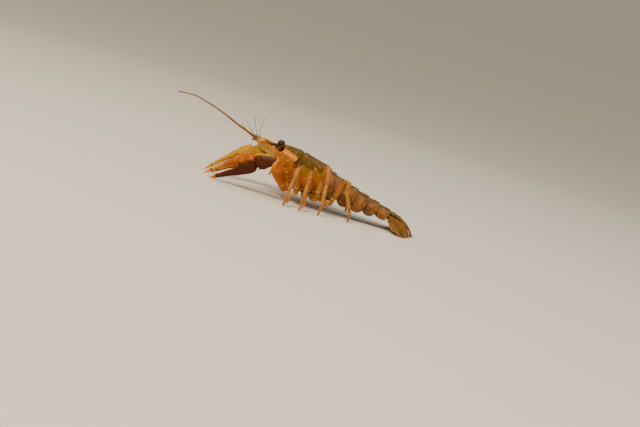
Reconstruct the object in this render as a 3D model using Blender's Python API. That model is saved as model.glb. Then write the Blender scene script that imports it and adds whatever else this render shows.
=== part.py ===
"""Life-size still model of a spiny-cheek crayfish standing on the floor.

The head points to -X and the tail to +X, the animal's left side faces -Y, and +Z is up. The front is held
high, both claws reach forward and down until their tips rest on the floor, and the tail fan rests behind.
Lengths below are millimetres, and MM turns them into metres.
"""

import math

import bmesh
import bpy
from mathutils import Matrix, Vector

MM = 0.001
GAP = 0.3
UP = Vector((0, 0, 1))
BACK = Vector((1, 0, 0))
ACROSS = Vector((0, 1, 0))
LEFT = -1
RIGHT = 1
SIDES = ((LEFT, "left"), (RIGHT, "right"))

# Carapace: rows of x, top height, half width, height of the widest point, height of the lower edge.
CARAPACE = (
    (27.0, 24.9, 4.9, 20.6, 17.8),
    (30.0, 25.5, 6.7, 19.6, 15.2),
    (34.0, 25.8, 8.6, 17.8, 12.2),
    (39.0, 25.3, 10.2, 16.0, 9.2),
    (45.0, 23.8, 10.9, 15.0, 7.8),
    (51.0, 22.4, 10.2, 15.0, 8.6),
    (55.0, 21.7, 8.9, 15.4, 10.2),
)
CARAPACE_SIDES = 26
ARCH_SHARE = 0.64
WALL_TUCK = 0.13
GROOVE_DEPTH = 0.65
GROOVE_AT = 0.45
# Margins of the carapace as x at the crest, at the shoulder, at mid side and at the lower edge.
FRONT_MARGIN = (28.0, 30.2, 28.4, 34.0)
GROOVE_LINE = (40.2, 39.4, 37.0, 36.6)
REAR_MARGIN = (53.6, 54.5, 54.2, 49.6)
MARGIN_STOPS = (0.0, 0.33, 0.62, 1.0)
CARAPACE_ROWS = (0.0, 0.13, 0.26, 0.36, 0.41, 0.45, 0.49, 0.54, 0.63, 0.74, 0.85, 0.94, 1.0)
SHELL_ENDS = ((35.5, 19.0), (51.5, 16.0))
# Spines of the cheek, the neck and the eye's edge: share along the shell, share around it, length, radius.
CHEEK_SPINES = (
    (0.17, 0.60, 1.15, 0.42),
    (0.22, 0.70, 1.15, 0.42),
    (0.27, 0.58, 1.15, 0.42),
    (0.28, 0.78, 1.15, 0.42),
    (0.33, 0.67, 1.15, 0.42),
    (0.35, 0.84, 1.15, 0.42),
    (0.53, 0.55, 1.20, 0.45),
    (0.04, 0.47, 1.00, 0.40),
)
CHEEK_SPINE_LEAN = 0.75
RIDGE_SPINE = (0.06, 0.20, 1.4, 0.5)

# Rostrum: rows of x, top height, half width.
ROSTRUM = (
    (33.0, 25.5, 2.0),
    (30.0, 25.6, 2.7),
    (27.0, 25.2, 2.45),
    (22.0, 24.5, 2.15),
    (18.2, 24.0, 1.95),
    (17.0, 23.85, 1.2),
    (13.0, 23.9, 0.25),
)
ROSTRUM_DEPTH = 1.5
ROSTRUM_RIM = 0.45
# Side spine of the rostrum: x, offset, height, length, radius.
ROSTRAL_SPINE = (18.4, 1.7, 23.7, 1.9, 0.45)

# Body core under the carapace: rows of x, top height, half width, bottom height.
CORE = (
    (24.6, 22.4, 2.3, 18.0),
    (28.0, 22.6, 4.2, 14.8),
    (32.0, 20.6, 5.2, 11.2),
    (34.5, 19.4, 6.2, 7.8),
    (37.0, 18.0, 6.9, 6.5),
    (45.0, 17.0, 7.9, 5.4),
    (52.0, 16.4, 7.3, 5.6),
    (54.7, 15.8, 6.4, 6.6),
)
CORE_CHAMFER = 1.5
CORE_BEVEL = (2.6, 3.2)
CORE_SPLIT = 33.0
CHANNEL_FLARE = 0.9
CHANNEL_DROP = 3.0
CORE_ROWS = 7

EYES = {LEFT: Vector((27.9, -4.6, 26.1)), RIGHT: Vector((27.7, 4.7, 25.2))}
EYE_RADIUS = 1.75
ORBIT_RADIUS = 2.15
EYE_STALK_ROOT = (27.5, 3.1, 22.9)
EYE_STALK_RADII = (0.65, 0.8, 1.1)

# Abdomen: points along the crest as x and height, and each segment's length, half width, arch depth,
# side plate depth and swimmeret length.
ABDOMEN_CREST = (
    (55.3, 20.7), (59.0, 19.2), (63.5, 17.5), (70.0, 15.4), (77.5, 13.2), (84.0, 11.5), (91.0, 9.3),
)
SEGMENTS = (
    (3.4, 8.3, 8.0, 1.6, 3.6),
    (6.3, 9.3, 7.6, 4.6, 5.0),
    (6.3, 9.1, 7.0, 4.3, 4.6),
    (6.0, 8.7, 6.2, 3.8, 4.2),
    (5.6, 8.0, 5.2, 3.0, 3.8),
    (6.6, 7.0, 4.4, 1.8, 0.0),
)
SEGMENT_ROWS = (0.0, 0.3, 0.62, 0.86, 1.0)
ARCH_POINTS = 10
FRONT_TUCK = 0.75
UPRIGHT_RUN = 5.0
PLATE_SHARE = 0.93
PLATE_THICKNESS = 0.9
BELLY_SHARE = 0.68
# Swimmeret: the stalk's share of its length, the paddles' lean sideways and share, and its offset.
STALK_SHARE = 0.42
PADDLES = ((0.35, 0.6), (-0.25, 0.51))
SWIMMERET_OFFSET = 0.42

# Tail fan: a middle blade and two blades each side. Rows of share of the reach and share of the half width.
TELSON_SHAPE = (
    (0.0, 0.78), (0.15, 0.92), (0.40, 1.0), (0.62, 0.98), (0.66, 0.90), (0.84, 0.82), (0.95, 0.70),
    (1.0, 0.50),
)
UROPOD_SHAPE = (
    (0.0, 0.32), (0.15, 0.58), (0.40, 0.94), (0.64, 1.0), (0.84, 0.88), (0.95, 0.66), (1.0, 0.42),
)
# Each blade: side offset and depth of its root, reach back, spread sideways, half width, half depth.
TELSON = (0.0, 1.1, 13.6, 0.0, 4.5, 0.55)
ENDOPOD = (3.4, 2.5, 11.9, 4.3, 2.9, 0.33)
EXOPOD = (4.7, 3.7, 9.4, 7.6, 3.2, 0.33)
BLADE_ARCH = (1.6, 0.7)

# Feelers, given for the left side.
ANTENNA_BASE = ((25.6, 4.1, 19.6), (22.6, 5.0, 21.0), (19.6, 5.5, 22.5), (16.9, 5.9, 24.2))
ANTENNA_BASE_HALVES = (1.3, 1.5, 1.2, 0.9)
ANTENNA_LEFT = (
    (16.6, 5.95, 24.5), (11.0, 8.0, 27.2), (5.2, 10.0, 29.5), (-3.8, 12.0, 33.3),
    (-12.5, 14.0, 36.1), (-18.1, 15.0, 37.2), (-25.6, 16.0, 36.8),
)
ANTENNA_RIGHT = (
    (16.6, 5.95, 24.5), (13.3, 7.9, 24.7), (12.9, 11.0, 24.0), (16.8, 13.4, 23.4),
    (23.5, 14.6, 23.0), (30.5, 16.8, 22.3), (38.5, 19.5, 21.2), (50.0, 21.8, 18.2), (61.0, 23.0, 15.0),
)
ANTENNA_HALVES = (0.72, 0.26)
ANTENNA_TAPER = 0.8
ANTENNA_STEPS = 6
# Antenna scale: rows of x, y, height, half width.
SCALE = (
    (24.6, 5.5, 22.0, 0.6), (23.6, 6.8, 23.5, 1.1), (21.0, 7.8, 24.2, 1.7),
    (18.3, 8.3, 24.4, 1.5), (16.4, 8.5, 24.4, 0.8), (15.2, 9.1, 24.3, 0.12),
)
SCALE_HALF_DEPTH = 0.32
ANTENNULE_ROOT = (24.2, 1.25, 20.6)
ANTENNULE_ELBOW = (18.4, 1.9, 21.4)
ANTENNULE_TIPS = {
    LEFT: ((6.9, 5.2, 29.6), (8.3, 3.8, 32.1)),
    RIGHT: ((11.1, 3.6, 34.6), (16.3, 4.6, 35.4)),
}
STEM_RADII = (0.75, 0.8, 0.6)
FORK_TURNS = ((-2.2, 1.9, 2.1), (-2.2, 1.2, 2.6))
FORK_BOW = (-0.7, 0.0, 0.3)
FORK_HALVES = (0.34, 0.15)
MAXILLIPED = (
    (37.8, 2.3, 5.8), (36.4, 2.5, 4.9), (33.4, 2.6, 6.6), (29.8, 2.5, 10.2), (27.0, 2.2, 11.6),
    (26.2, 1.9, 9.0),
)
MAXILLIPED_HALVES = (0.85, 1.05, 1.15, 1.0, 0.7, 0.3)

# Claw limbs: the root's x on the thorax, the joints outwards, then the middle of the two finger tips.
CLAW_ARM = {
    LEFT: (36.4, (35.6, 10.4, 6.0), (28.2, 17.2, 17.6), (19.3, 14.1, 15.3), (-2.6, 8.5, 1.0)),
    RIGHT: (36.4, (35.6, 10.4, 6.0), (24.8, 14.8, 19.4), (15.8, 13.8, 16.2), (-5.7, 9.0, 1.0)),
}
# Claw outline: rows of distance from the wrist, offset of the middle line, half depth, half thickness.
PALM = (
    (0.15, 0.1, 3.2, 2.2), (1.6, 0.1, 4.7, 2.7), (4.2, 0.0, 5.1, 2.95),
    (8.1, -0.1, 4.6, 2.8), (9.2, -2.2, 2.3, 2.1),
)
FIXED_FINGER = (
    (7.6, -1.9, 2.7, 2.2), (11.0, -2.3, 2.1, 1.9), (15.4, -2.0, 1.5, 1.45),
    (19.8, -1.9, 1.15, 1.1), (23.8, -1.8, 0.7, 0.7),
)
FIXED_TIP = (25.7, -1.75)
FINGER_CLOSE = {LEFT: 0.0, RIGHT: 0.055}
DACTYL = (
    (9.3, 2.9, 1.2, 1.3), (10.4, 3.0, 1.75, 1.6), (13.5, 2.75, 1.45, 1.35),
    (18.9, 2.4, 1.05, 1.05), (24.1, 1.95, 0.75, 0.75),
)
DACTYL_TIP = (27.9, 1.3)
TIP_RADIUS = 0.32
CLAW_SIDES = 12
# Stations of the root, the upper arm and the wrist piece: joint run, share of it, radius.
ROOT_STATIONS = ((0, 0.0, 1.7), (0, 0.45, 1.9), (0, 1.0, 1.7))
ARM_STATIONS = ((0, 0.0, 1.7), (0, 0.22, 2.4), (0, 0.55, 3.3), (0, 0.82, 3.6), (0, 1.0, 2.8))
WRIST_STATIONS = ((0, 0.0, 2.5), (0, 0.45, 3.7), (0, 0.78, 3.95), (0, 1.0, 3.1))
ARM_FLATNESS = 0.85
WRIST_FLATNESS = 0.9
# Spines of the arm: share along it above and below, distance from the middle line, length, radius.
ARM_SPINES_ABOVE = ((0.66, 2.8, 1.2, 0.5), (0.82, 2.9, 1.2, 0.5))
ARM_SPINES_BELOW = ((0.45, 2.4, 1.1, 0.45), (0.62, 2.7, 1.1, 0.45), (0.79, 2.8, 1.1, 0.45))
WRIST_SPUR = (0.62, 3.3, 2.3, 0.6)
WRIST_SPINE_ABOVE = (0.78, 3.6, 1.2, 0.5)
WRIST_SPINE_BELOW = (0.80, 3.5, 1.3, 0.5)
# Knobs of the palm and teeth of the fingers: distance from the wrist, offset of the root.
PALM_KNOBS = ((2.2, 4.7), (3.9, 4.95), (5.6, 4.8), (7.2, 4.5))
INNER_KNOBS = ((2.6, 3.0), (4.6, 3.3), (6.6, 3.1))
INNER_KNOB_OFFSET = 2.1
FIXED_TEETH = ((12.0, -0.35), (14.0, -0.55), (16.6, -0.7))
MOVABLE_TEETH = (12.2, 14.6, 17.2)
KNOB = (0.55, 0.5)
TOOTH = (0.45, 0.45)

# Walking legs, given for the left side: the root's x on the thorax, then the joints out to the foot.
LEGS = {
    2: (41.6, (42.0, 10.8, 5.4), (40.6, 16.0, 17.4), (39.8, 19.4, 13.6), (38.8, 23.2, 6.4), (38.2, 25.4, 0)),
    3: (45.6, (47.0, 11.0, 5.0), (46.4, 16.0, 17.8), (46.6, 19.6, 13.6), (46.6, 23.6, 6.4), (46.2, 25.8, 0)),
    4: (49.2, (51.8, 10.8, 4.9), (53.2, 15.0, 22.0), (55.2, 18.6, 14.2), (55.8, 22.0, 6.1), (55.4, 23.2, 0)),
    5: (52.4, (59.0, 10.9, 4.7), (63.5, 14.2, 18.2), (65.4, 15.2, 14.2), (69.8, 16.0, 4.3), (69.9, 16.3, 0)),
}
RIGHT_LEG_SHIFT = {2: 1.6, 3: -1.4, 4: 1.8, 5: -1.6}
RIGHT_KNEE_DROP = {2: 0.0, 3: 0.0, 4: 4.4, 5: 3.8}
SHIFT_SHARES = (0.0, 0.4, 0.7, 1.0, 1.0)
DROP_SHARES = (0.0, 1.0, 0.95, 0.0, 0.0)
SPREAD_SHARES = (0.0, 0.45, 0.45, 0.2, 0.0)
LEG_SIDES = 8
# Stations of a leg above and below the knee: joint run, share of it, radius.
LEG_ROOT = ((0, 0.0, 1.31), (0, 1.0, 1.37))
LONG_HIP_STATION = (1, 0.6, 1.25)
UPPER_LEG = ((2, 0.0, 1.02), (2, 0.22, 1.23), (2, 0.55, 1.3), (2, 0.84, 1.23), (2, 1.0, 1.1), (3, 1.0, 0.94))
LOWER_LEG = (
    (0, 0.0, 0.9), (1, 0.0, 1.03), (1, 0.45, 1.15), (1, 0.8, 1.13), (2, 0.0, 0.87),
    (2, 0.3, 0.97), (2, 0.75, 0.86), (3, 0.0, 0.7), (3, 0.45, 0.58), (3, 1.0, 0.3),
)
# Small pincer finger: run along the foot, offset from it, radius. The last row is measured back from its end.
PINCER = ((-0.6, 0.5, 0.6), (2.0, 1.25, 0.6), (4.0, 1.35, 0.45))
PINCER_TIP = (1.4, 0.75, 0.15)
ROOT_GAP = 0.4
COXA_RUN = 1.5
KNEE_RUN = 1.0
LONG_HIP = 4.0
PINCER_LEGS = (2, 3)

# Colour and roughness of each sort of surface.
SHELL = ((0.36, 0.27, 0.08), 0.4)
PALE_SHELL = ((0.55, 0.33, 0.16), 0.5)
DARK_EYE = ((0.02, 0.015, 0.01), 0.15)
SHARP_ANGLE = 40


def vec(x, y, z):
    return Vector((x, y, z))


def mirrored(point, side):
    """The point on the animal's left (side -1) or right (side 1)."""
    return Vector((point[0], side * abs(point[1]), point[2]))


def lerp(a, b, t):
    return a + (b - a) * t


def row_at(rows, x):
    """Values of a table of stations at x, on a smooth curve through its rows."""
    ordered = sorted(rows)
    xs = [row[0] for row in ordered]
    x = min(max(x, xs[0]), xs[-1])
    k = max(i for i in range(len(xs) - 1) if xs[i] <= x)
    before, start, end, after = (ordered[max(0, min(len(xs) - 1, k + i))] for i in (-1, 0, 1, 2))
    span = end[0] - start[0]
    t = (x - start[0]) / span
    values = []
    for c in range(1, len(start)):
        m0 = (end[c] - before[c]) / (end[0] - before[0]) * span
        m1 = (after[c] - start[c]) / (after[0] - start[0]) * span
        values.append(
            start[c] * (2 * t**3 - 3 * t**2 + 1)
            + m0 * (t**3 - 2 * t**2 + t)
            + end[c] * (3 * t**2 - 2 * t**3)
            + m1 * (t**3 - t**2)
        )
    return values


def smooth_path(points, steps):
    """Points on a smooth curve through the given points, steps for each span."""
    knots = [Vector(p) for p in points]
    path = []
    for k in range(len(knots) - 1):
        before = knots[max(0, k - 1)]
        start, end = knots[k], knots[k + 1]
        after = knots[min(len(knots) - 1, k + 2)]
        for i in range(steps):
            t = i / steps
            path.append(
                0.5
                * (
                    2 * start
                    + (end - before) * t
                    + (2 * before - 5 * start + 4 * end - after) * t**2
                    + (3 * start - before - 3 * end + after) * t**3
                )
            )
    path.append(knots[-1])
    return path


def mesh_object(name, points, faces):
    """A closed mesh object from points in millimetres, its faces turned outwards."""
    mesh = bpy.data.meshes.new(name)
    mesh.from_pydata([tuple(Vector(p) * MM) for p in points], [], faces)
    work = bmesh.new()
    work.from_mesh(mesh)
    bmesh.ops.remove_doubles(work, verts=work.verts, dist=2e-6)
    bmesh.ops.recalc_face_normals(work, faces=work.faces)
    bmesh.ops.triangulate(work, faces=work.faces)
    work.to_mesh(mesh)
    work.free()
    obj = bpy.data.objects.new(name, mesh)
    bpy.context.scene.collection.objects.link(obj)
    return obj


def loft(name, rings, start=None, end=None):
    """A closed skin over rings of equal count, each end flat or drawn to a given point."""
    count = len(rings[0])
    points = [p for ring in rings for p in ring]
    faces = []
    for r in range(len(rings) - 1):
        for i in range(count):
            j = (i + 1) % count
            faces.append((r * count + i, r * count + j, (r + 1) * count + j, (r + 1) * count + i))
    for first, middle in ((0, start), ((len(rings) - 1) * count, end)):
        if middle is None:
            faces.append(tuple(range(first, first + count)))
            continue
        points.append(middle)
        for i in range(count):
            faces.append((first + i, first + (i + 1) % count, len(points) - 1))
    return mesh_object(name, points, faces)


def oval(centre, side, up, half_side, half_up, count, turn=0.0):
    """A ring of points on an ellipse."""
    angles = (2 * math.pi * (i + turn) / count for i in range(count))
    return [centre + side * (half_side * math.cos(a)) + up * (half_up * math.sin(a)) for a in angles]


def frame_of(direction, up_hint):
    """Side and up vectors square to a direction."""
    side = direction.cross(up_hint).normalized()
    return side, side.cross(direction).normalized()


def tube(name, path, halves, count, up_hint=UP, first_normal=None, last_normal=None):
    """A closed tube along a path, free of twist. halves gives each point's half side and half height."""
    rings = []
    last = len(path) - 1
    for i, point in enumerate(path):
        along = (path[min(i + 1, last)] - path[max(i - 1, 0)]).normalized()
        if i == 0 and first_normal:
            along = Vector(first_normal).normalized()
        if i == last and last_normal:
            along = Vector(last_normal).normalized()
        side, up_hint = frame_of(along, up_hint)
        half_side, half_up = halves[i]
        rings.append(oval(point, side, up_hint, half_side, half_up, count))
    return loft(name, rings)


def podomere(start, end, radii, up_hint, count):
    """A short straight length: slim at its root and fuller beyond."""
    root, middle, tip = radii
    stations = ((0.0, root), (0.3, lerp(root, middle, 0.8)), (0.72, middle), (1.0, tip))
    path = [start.lerp(end, share) for share, _ in stations]
    return tube("podomere", path, [(r, r) for _, r in stations], count, up_hint)


def spine(root, direction, length, radius, sink=0.5, count=5):
    """A sharp cone whose root is sunk into the surface that carries it."""
    direction = Vector(direction).normalized()
    side, up = frame_of(direction, UP if abs(direction.z) < 0.9 else BACK)
    base = Vector(root) - direction * sink
    tip = Vector(root) + direction * length
    rings = [
        oval(base, side, up, radius * 1.15, radius * 1.15, count),
        oval(Vector(root) + direction * (length * 0.45), side, up, radius * 0.6, radius * 0.6, count),
    ]
    return loft("spine", rings, end=tip)


def ball(centre, radius, segments=12, rings=8):
    """A closed ball."""
    work = bmesh.new()
    bmesh.ops.create_uvsphere(work, u_segments=segments, v_segments=rings, radius=radius * MM)
    bmesh.ops.translate(work, vec=Vector(centre) * MM, verts=work.verts)
    bmesh.ops.triangulate(work, faces=work.faces)
    mesh = bpy.data.meshes.new("ball")
    work.to_mesh(mesh)
    work.free()
    obj = bpy.data.objects.new("ball", mesh)
    bpy.context.scene.collection.objects.link(obj)
    return obj


def keep_largest(mesh):
    """Drops loose scraps and sealed hollows, so that one closed surface is left."""
    work = bmesh.new()
    work.from_mesh(mesh)
    bmesh.ops.remove_doubles(work, verts=work.verts, dist=1e-6)
    unseen = set(work.verts)
    shells = []
    while unseen:
        front = [unseen.pop()]
        shell = set(front)
        while front:
            for edge in front.pop().link_edges:
                for vert in edge.verts:
                    if vert in unseen:
                        unseen.remove(vert)
                        shell.add(vert)
                        front.append(vert)
        shells.append(shell)
    largest = max(shells, key=len)
    bmesh.ops.delete(work, geom=[v for v in work.verts if v not in largest], context="VERTS")
    bmesh.ops.triangulate(work, faces=work.faces)
    work.to_mesh(mesh)
    work.free()


def is_closed(mesh):
    """True where every edge has exactly two faces."""
    work = bmesh.new()
    work.from_mesh(mesh)
    closed = all(len(edge.link_faces) == 2 for edge in work.edges)
    work.free()
    return closed


def combine(base, others, operation):
    """Applies one Boolean of a collection to base, then removes the collection's objects."""
    if not others:
        return base
    group = bpy.data.collections.new("pieces")
    bpy.context.scene.collection.children.link(group)
    for obj in others:
        bpy.context.scene.collection.objects.unlink(obj)
        group.objects.link(obj)
    boolean = base.modifiers.new("join", "BOOLEAN")
    boolean.operation = operation
    boolean.operand_type = "COLLECTION"
    boolean.collection = group
    for solver in ("EXACT", "MANIFOLD"):
        boolean.solver = solver
        graph = bpy.context.evaluated_depsgraph_get()
        mesh = bpy.data.meshes.new_from_object(base.evaluated_get(graph))
        keep_largest(mesh)
        if is_closed(mesh):
            break
    base.modifiers.remove(boolean)
    base.data = mesh
    for obj in others:
        bpy.data.objects.remove(obj)
    bpy.data.collections.remove(group)
    return base


def node(name, pieces, look, cutters=()):
    """Fuses pieces into one named node, takes cutters away from it and gives it its own material."""
    obj = combine(pieces[0], pieces[1:], "UNION")
    obj = combine(obj, list(cutters), "DIFFERENCE")
    obj.name = name
    obj.data.name = name
    obj.data.materials.clear()
    obj.data.materials.append(finish(name, *look))
    obj.data.shade_smooth()
    obj.data.set_sharp_from_angle(angle=math.radians(SHARP_ANGLE))


def finish(name, rgb, roughness):
    """A Principled material of one colour and roughness."""
    material = bpy.data.materials.new(name)
    material.use_nodes = True
    shader = material.node_tree.nodes["Principled BSDF"]
    shader.inputs["Base Color"].default_value = (*rgb, 1)
    shader.inputs["Roughness"].default_value = roughness
    shader.inputs["Metallic"].default_value = 0.0
    return material


def margin_at(margin, t):
    """x of a margin at t, which runs from 0 at the crest to 1 at the lower edge."""
    return row_at(list(zip(MARGIN_STOPS, margin)), t)[0]


def carapace_point(row, t):
    """A point of the shell. row runs from the front margin to the rear one, t from -1 on the left to 1."""
    reach = abs(t)
    front, groove, rear = (margin_at(m, reach) for m in (FRONT_MARGIN, GROOVE_LINE, REAR_MARGIN))
    if row < GROOVE_AT:
        x = lerp(front, groove, row / GROOVE_AT)
    else:
        x = lerp(groove, rear, (row - GROOVE_AT) / (1 - GROOVE_AT))
    top, half, widest, lower = row_at(CARAPACE, x)
    if reach < ARCH_SHARE:
        angle = reach / ARCH_SHARE * math.pi / 2
        y = half * math.sin(angle) ** 0.94
        z = widest + (top - widest) * math.cos(angle) ** 0.94
    else:
        drop = (reach - ARCH_SHARE) / (1 - ARCH_SHARE)
        y = half * (1 - WALL_TUCK * drop**2)
        z = lerp(widest, lower, drop)
    sink = GROOVE_DEPTH * math.exp(-(((row - GROOVE_AT) / 0.035) ** 2)) * min(1.0, 1.35 - reach)
    outward = Vector((0, y, z - widest + 4)).normalized()
    return Vector((x, math.copysign(y, t), z)) - Vector((0, math.copysign(outward.y, t), outward.z)) * sink


def carapace_shell():
    """The outer shell as a closed body, still full inside."""
    spans = CARAPACE_SIDES
    rings = []
    for row in CARAPACE_ROWS:
        ring = [carapace_point(row, -1 + 2 * i / spans) for i in range(spans + 1)]
        low = ring[0].z
        ring += [Vector((ring[-1].x, ring[-1].y * f, low)) for f in (0.5, 0.0, -0.5)]
        rings.append(ring)
    front, rear = (vec(x, 0, z) for x, z in SHELL_ENDS)
    return loft("shell", rings, start=front, end=rear)


def rostrum():
    """The flat beak between the eyes: raised rims, two side spines and a long sharp tip."""
    rings = []
    for x, top, half in ROSTRUM:
        depth = ROSTRUM_DEPTH * min(1.0, 0.45 + (x - ROSTRUM[-1][0]) / 12)
        rim = ROSTRUM_RIM * min(1.0, half / 2)
        rings.append(
            [
                vec(x, -half, top - rim),
                vec(x, -half * 0.8, top),
                vec(x, 0, top - rim),
                vec(x, half * 0.8, top),
                vec(x, half, top - rim),
                vec(x, half * 0.6, top - depth),
                vec(x, -half * 0.6, top - depth),
            ]
        )
    return loft("rostrum", rings, end=vec(ROSTRUM[-1][0] - 0.4, 0, ROSTRUM[-1][1] - 0.1))


def cheek_spines(side):
    """Spines of one side of the shell, each pointing out and forward."""
    found = []
    for row, t, length, radius in CHEEK_SPINES:
        root = carapace_point(row, side * t)
        behind = carapace_point(row + 0.02, side * t)
        below = carapace_point(row, side * (t + 0.03))
        normal = (behind - root).cross(below - root).normalized()
        if normal.y * side < 0:
            normal = -normal
        found.append(spine(root, normal - BACK * CHEEK_SPINE_LEAN, length, radius))
    row, t, length, radius = RIDGE_SPINE
    ridge = carapace_point(row, side * t)
    found.append(spine(ridge + vec(0.4, 0, 0.1), vec(-1, side * 0.15, 0.25), length, radius, sink=1.6))
    return found


def core_body(first, last, grow=0.0, open_below=False):
    """The body core between two stations, grown all round and open below where it serves as a cutter."""
    rings = []
    for k in range(CORE_ROWS + 1):
        x = lerp(first, last, k / CORE_ROWS)
        top, half, bottom = row_at(CORE, x)
        middle, height = (top + bottom) / 2, (top - bottom) / 2 + grow
        half += grow
        slant, rise = CORE_BEVEL
        rise = min(rise, height)
        slant = min(slant, half * 0.4)
        right = [
            (half - CORE_CHAMFER, middle + height),
            (half, middle + height - CORE_CHAMFER),
            (half, middle - height + rise),
            (half - slant, middle - height),
        ]
        if open_below:
            right[-1] = (half + CHANNEL_FLARE, middle - height - CHANNEL_DROP)
        ring = [vec(x, y, z) for y, z in right] + [vec(x, -y, z) for y, z in reversed(right)]
        rings.append(ring)
    return loft("core", rings)


def head_and_thorax():
    """Carapace with its beak and spines, and the core that carries the limbs."""
    first, last = CORE[0][0], CORE[-1][0]
    orbits = [ball(EYES[side], ORBIT_RADIUS) for side in (LEFT, RIGHT)]
    x, offset, height, length, radius = ROSTRAL_SPINE
    pieces = [carapace_shell(), rostrum()]
    for side in (LEFT, RIGHT):
        ahead = vec(-1, side * 0.25, 0.1)
        pieces.append(spine(vec(x, side * offset, height), ahead, length, radius, sink=1.0))
        pieces += cheek_spines(side)
    margin = 1.5
    cutters = [core_body(first - margin, last + margin, GAP + 0.05, True), *orbits]
    node("carapace", pieces, SHELL, cutters)
    node("head_core", [core_body(first, CORE_SPLIT - GAP / 2)], PALE_SHELL)
    node("thorax_core", [core_body(CORE_SPLIT + GAP / 2, last)], PALE_SHELL)


def eyes():
    """Each eye: a dark ball on a short stalk."""
    for side, word in SIDES:
        root = mirrored(EYE_STALK_ROOT, side)
        stalk = podomere(root, EYES[side], EYE_STALK_RADII, BACK, 8)
        node(f"eye_{word}", [ball(EYES[side], EYE_RADIUS), stalk], DARK_EYE)


def crest_frame(distance):
    """Crest point, backward direction and upward normal at a distance along the abdomen."""
    path = smooth_path([vec(x, 0, z) for x, z in ABDOMEN_CREST], 8)
    left = distance
    for a, b in zip(path, path[1:]):
        step = (b - a).length
        if left <= step or b is path[-1]:
            break
        left -= step
    before = path[max(0, path.index(a) - 2)]
    after = path[min(len(path) - 1, path.index(b) + 2)]
    along = BACK.lerp((after - before).normalized(), min(1.0, distance / UPRIGHT_RUN)).normalized()
    return a + (b - a).normalized() * left, along, Vector((-along.z, 0, along.x))


def segment_ring(share, start, spec):
    """One cross-section of an abdomen segment: arched plate, side plates and a raised belly."""
    length, half, arch, side_plate, _ = spec
    crest, along, normal = crest_frame(start + length * share)
    if share == 0.0 and start > 0.0:
        _, along, normal = crest_frame(start - GAP)
    tuck = FRONT_TUCK * (1 - share) ** 1.6
    half -= tuck
    arch_depth = arch - tuck
    lobe = side_plate * (0.30 + 0.70 * math.sin(math.pi * min(1.0, 0.12 + 0.80 * share)) ** 0.8)
    top = crest - normal * tuck
    ring = []
    for i in range(ARCH_POINTS + 1):
        angle = math.pi * (i / ARCH_POINTS - 0.5)
        y = half * math.copysign(abs(math.sin(angle)) ** 0.9, angle)
        ring.append(top - normal * (arch_depth * (1 - math.cos(angle) ** 0.9)) + ACROSS * y)
    edge = top - normal * arch_depth
    outer, inner = half * PLATE_SHARE, half * PLATE_SHARE - PLATE_THICKNESS
    belly = edge + normal * 0.6
    ring.append(edge - normal * lobe + ACROSS * outer)
    ring.append(edge - normal * (lobe * 0.96) + ACROSS * inner)
    ring.append(belly + ACROSS * (half * BELLY_SHARE))
    ring.append(belly - normal * 0.5)
    ring.append(belly - ACROSS * (half * BELLY_SHARE))
    ring.append(edge - normal * (lobe * 0.96) - ACROSS * inner)
    ring.append(edge - normal * lobe - ACROSS * outer)
    return ring


def swimmeret(root, normal, along, side, length):
    """A stalk with two flat paddles that hangs from the belly."""
    down = (along * 0.25 - normal + ACROSS * side * 0.1).normalized()
    knee = root + down * (length * STALK_SHARE)
    stalk = [root + normal * 0.9, root.lerp(knee, 0.5), knee + down * 0.35]
    pieces = [tube("stalk", stalk, [(0.55, 0.7), (0.5, 0.65), (0.3, 0.4)], 6, BACK)]
    for lean, share in PADDLES:
        way = (down + along * 0.35 + ACROSS * side * lean).normalized() * (length * share)
        paddle = [knee - way * 0.08, knee + way * 0.5, knee + way]
        pieces.append(tube("paddle", paddle, [(0.35, 0.3), (0.75, 0.4), (0.3, 0.2)], 6, BACK))
    return pieces


def abdomen():
    """Six overlapping segments, the first five with swimmerets."""
    start = 0.0
    for number, spec in enumerate(SEGMENTS, 1):
        length, half, arch, _, paddle = spec
        pieces = [loft("segment", [segment_ring(share, start, spec) for share in SEGMENT_ROWS])]
        crest, along, normal = crest_frame(start + length * 0.5)
        for side in (LEFT, RIGHT) if paddle else ():
            root = crest - normal * (arch - 0.8) + ACROSS * (side * half * SWIMMERET_OFFSET)
            pieces += swimmeret(root, normal, along, side, paddle)
        node(f"abdomen_{number}", pieces, SHELL)
        start += length + GAP


def blade(spec, shape, side):
    """One blade of the tail fan: it arches back and down until its end edge stands on the floor."""
    offset, depth, reach, spread, half_width, half_depth = spec
    crest, along, normal = crest_frame(sum(row[0] + GAP for row in SEGMENTS))
    root = crest - normal * depth + ACROSS * (side * offset)
    foot = vec(root.x + reach, side * (offset + spread), 0)
    level = Vector((foot.x - root.x, foot.y - root.y, 0)).normalized()
    power, bend = BLADE_ARCH

    def at(share):
        height = root.z * max(0.0, 1 - share**power) ** bend
        return Vector((lerp(root.x, foot.x, share), lerp(root.y, foot.y, share), height))

    rings = []
    for share, width in shape:
        step = 0.01
        way = (at(min(1.0, share + step)) - at(max(0.0, share - step))).normalized()
        across = UP.cross(level)
        if share == 0.0:
            across, way = ACROSS, along
        if share == 1.0:
            way = -UP
        lift = way.cross(across).normalized()
        half, point = half_width * width, at(share)
        rings.append(
            [
                point - across * half,
                point - across * (half * 0.5) + lift * half_depth,
                point + lift * (half_depth * 1.15),
                point + across * (half * 0.5) + lift * half_depth,
                point + across * half,
                point + across * (half * 0.5) - lift * half_depth,
                point - lift * half_depth,
                point - across * (half * 0.5) - lift * half_depth,
            ]
        )
    return loft("blade", rings)


def tail_fan():
    """The middle blade and the two pairs beside it."""
    node("telson", [blade(TELSON, TELSON_SHAPE, RIGHT)], SHELL)
    for side, word in SIDES:
        node(f"endopod_{word}", [blade(ENDOPOD, UROPOD_SHAPE, side)], SHELL)
        node(f"exopod_{word}", [blade(EXOPOD, UROPOD_SHAPE, side)], SHELL)


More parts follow.
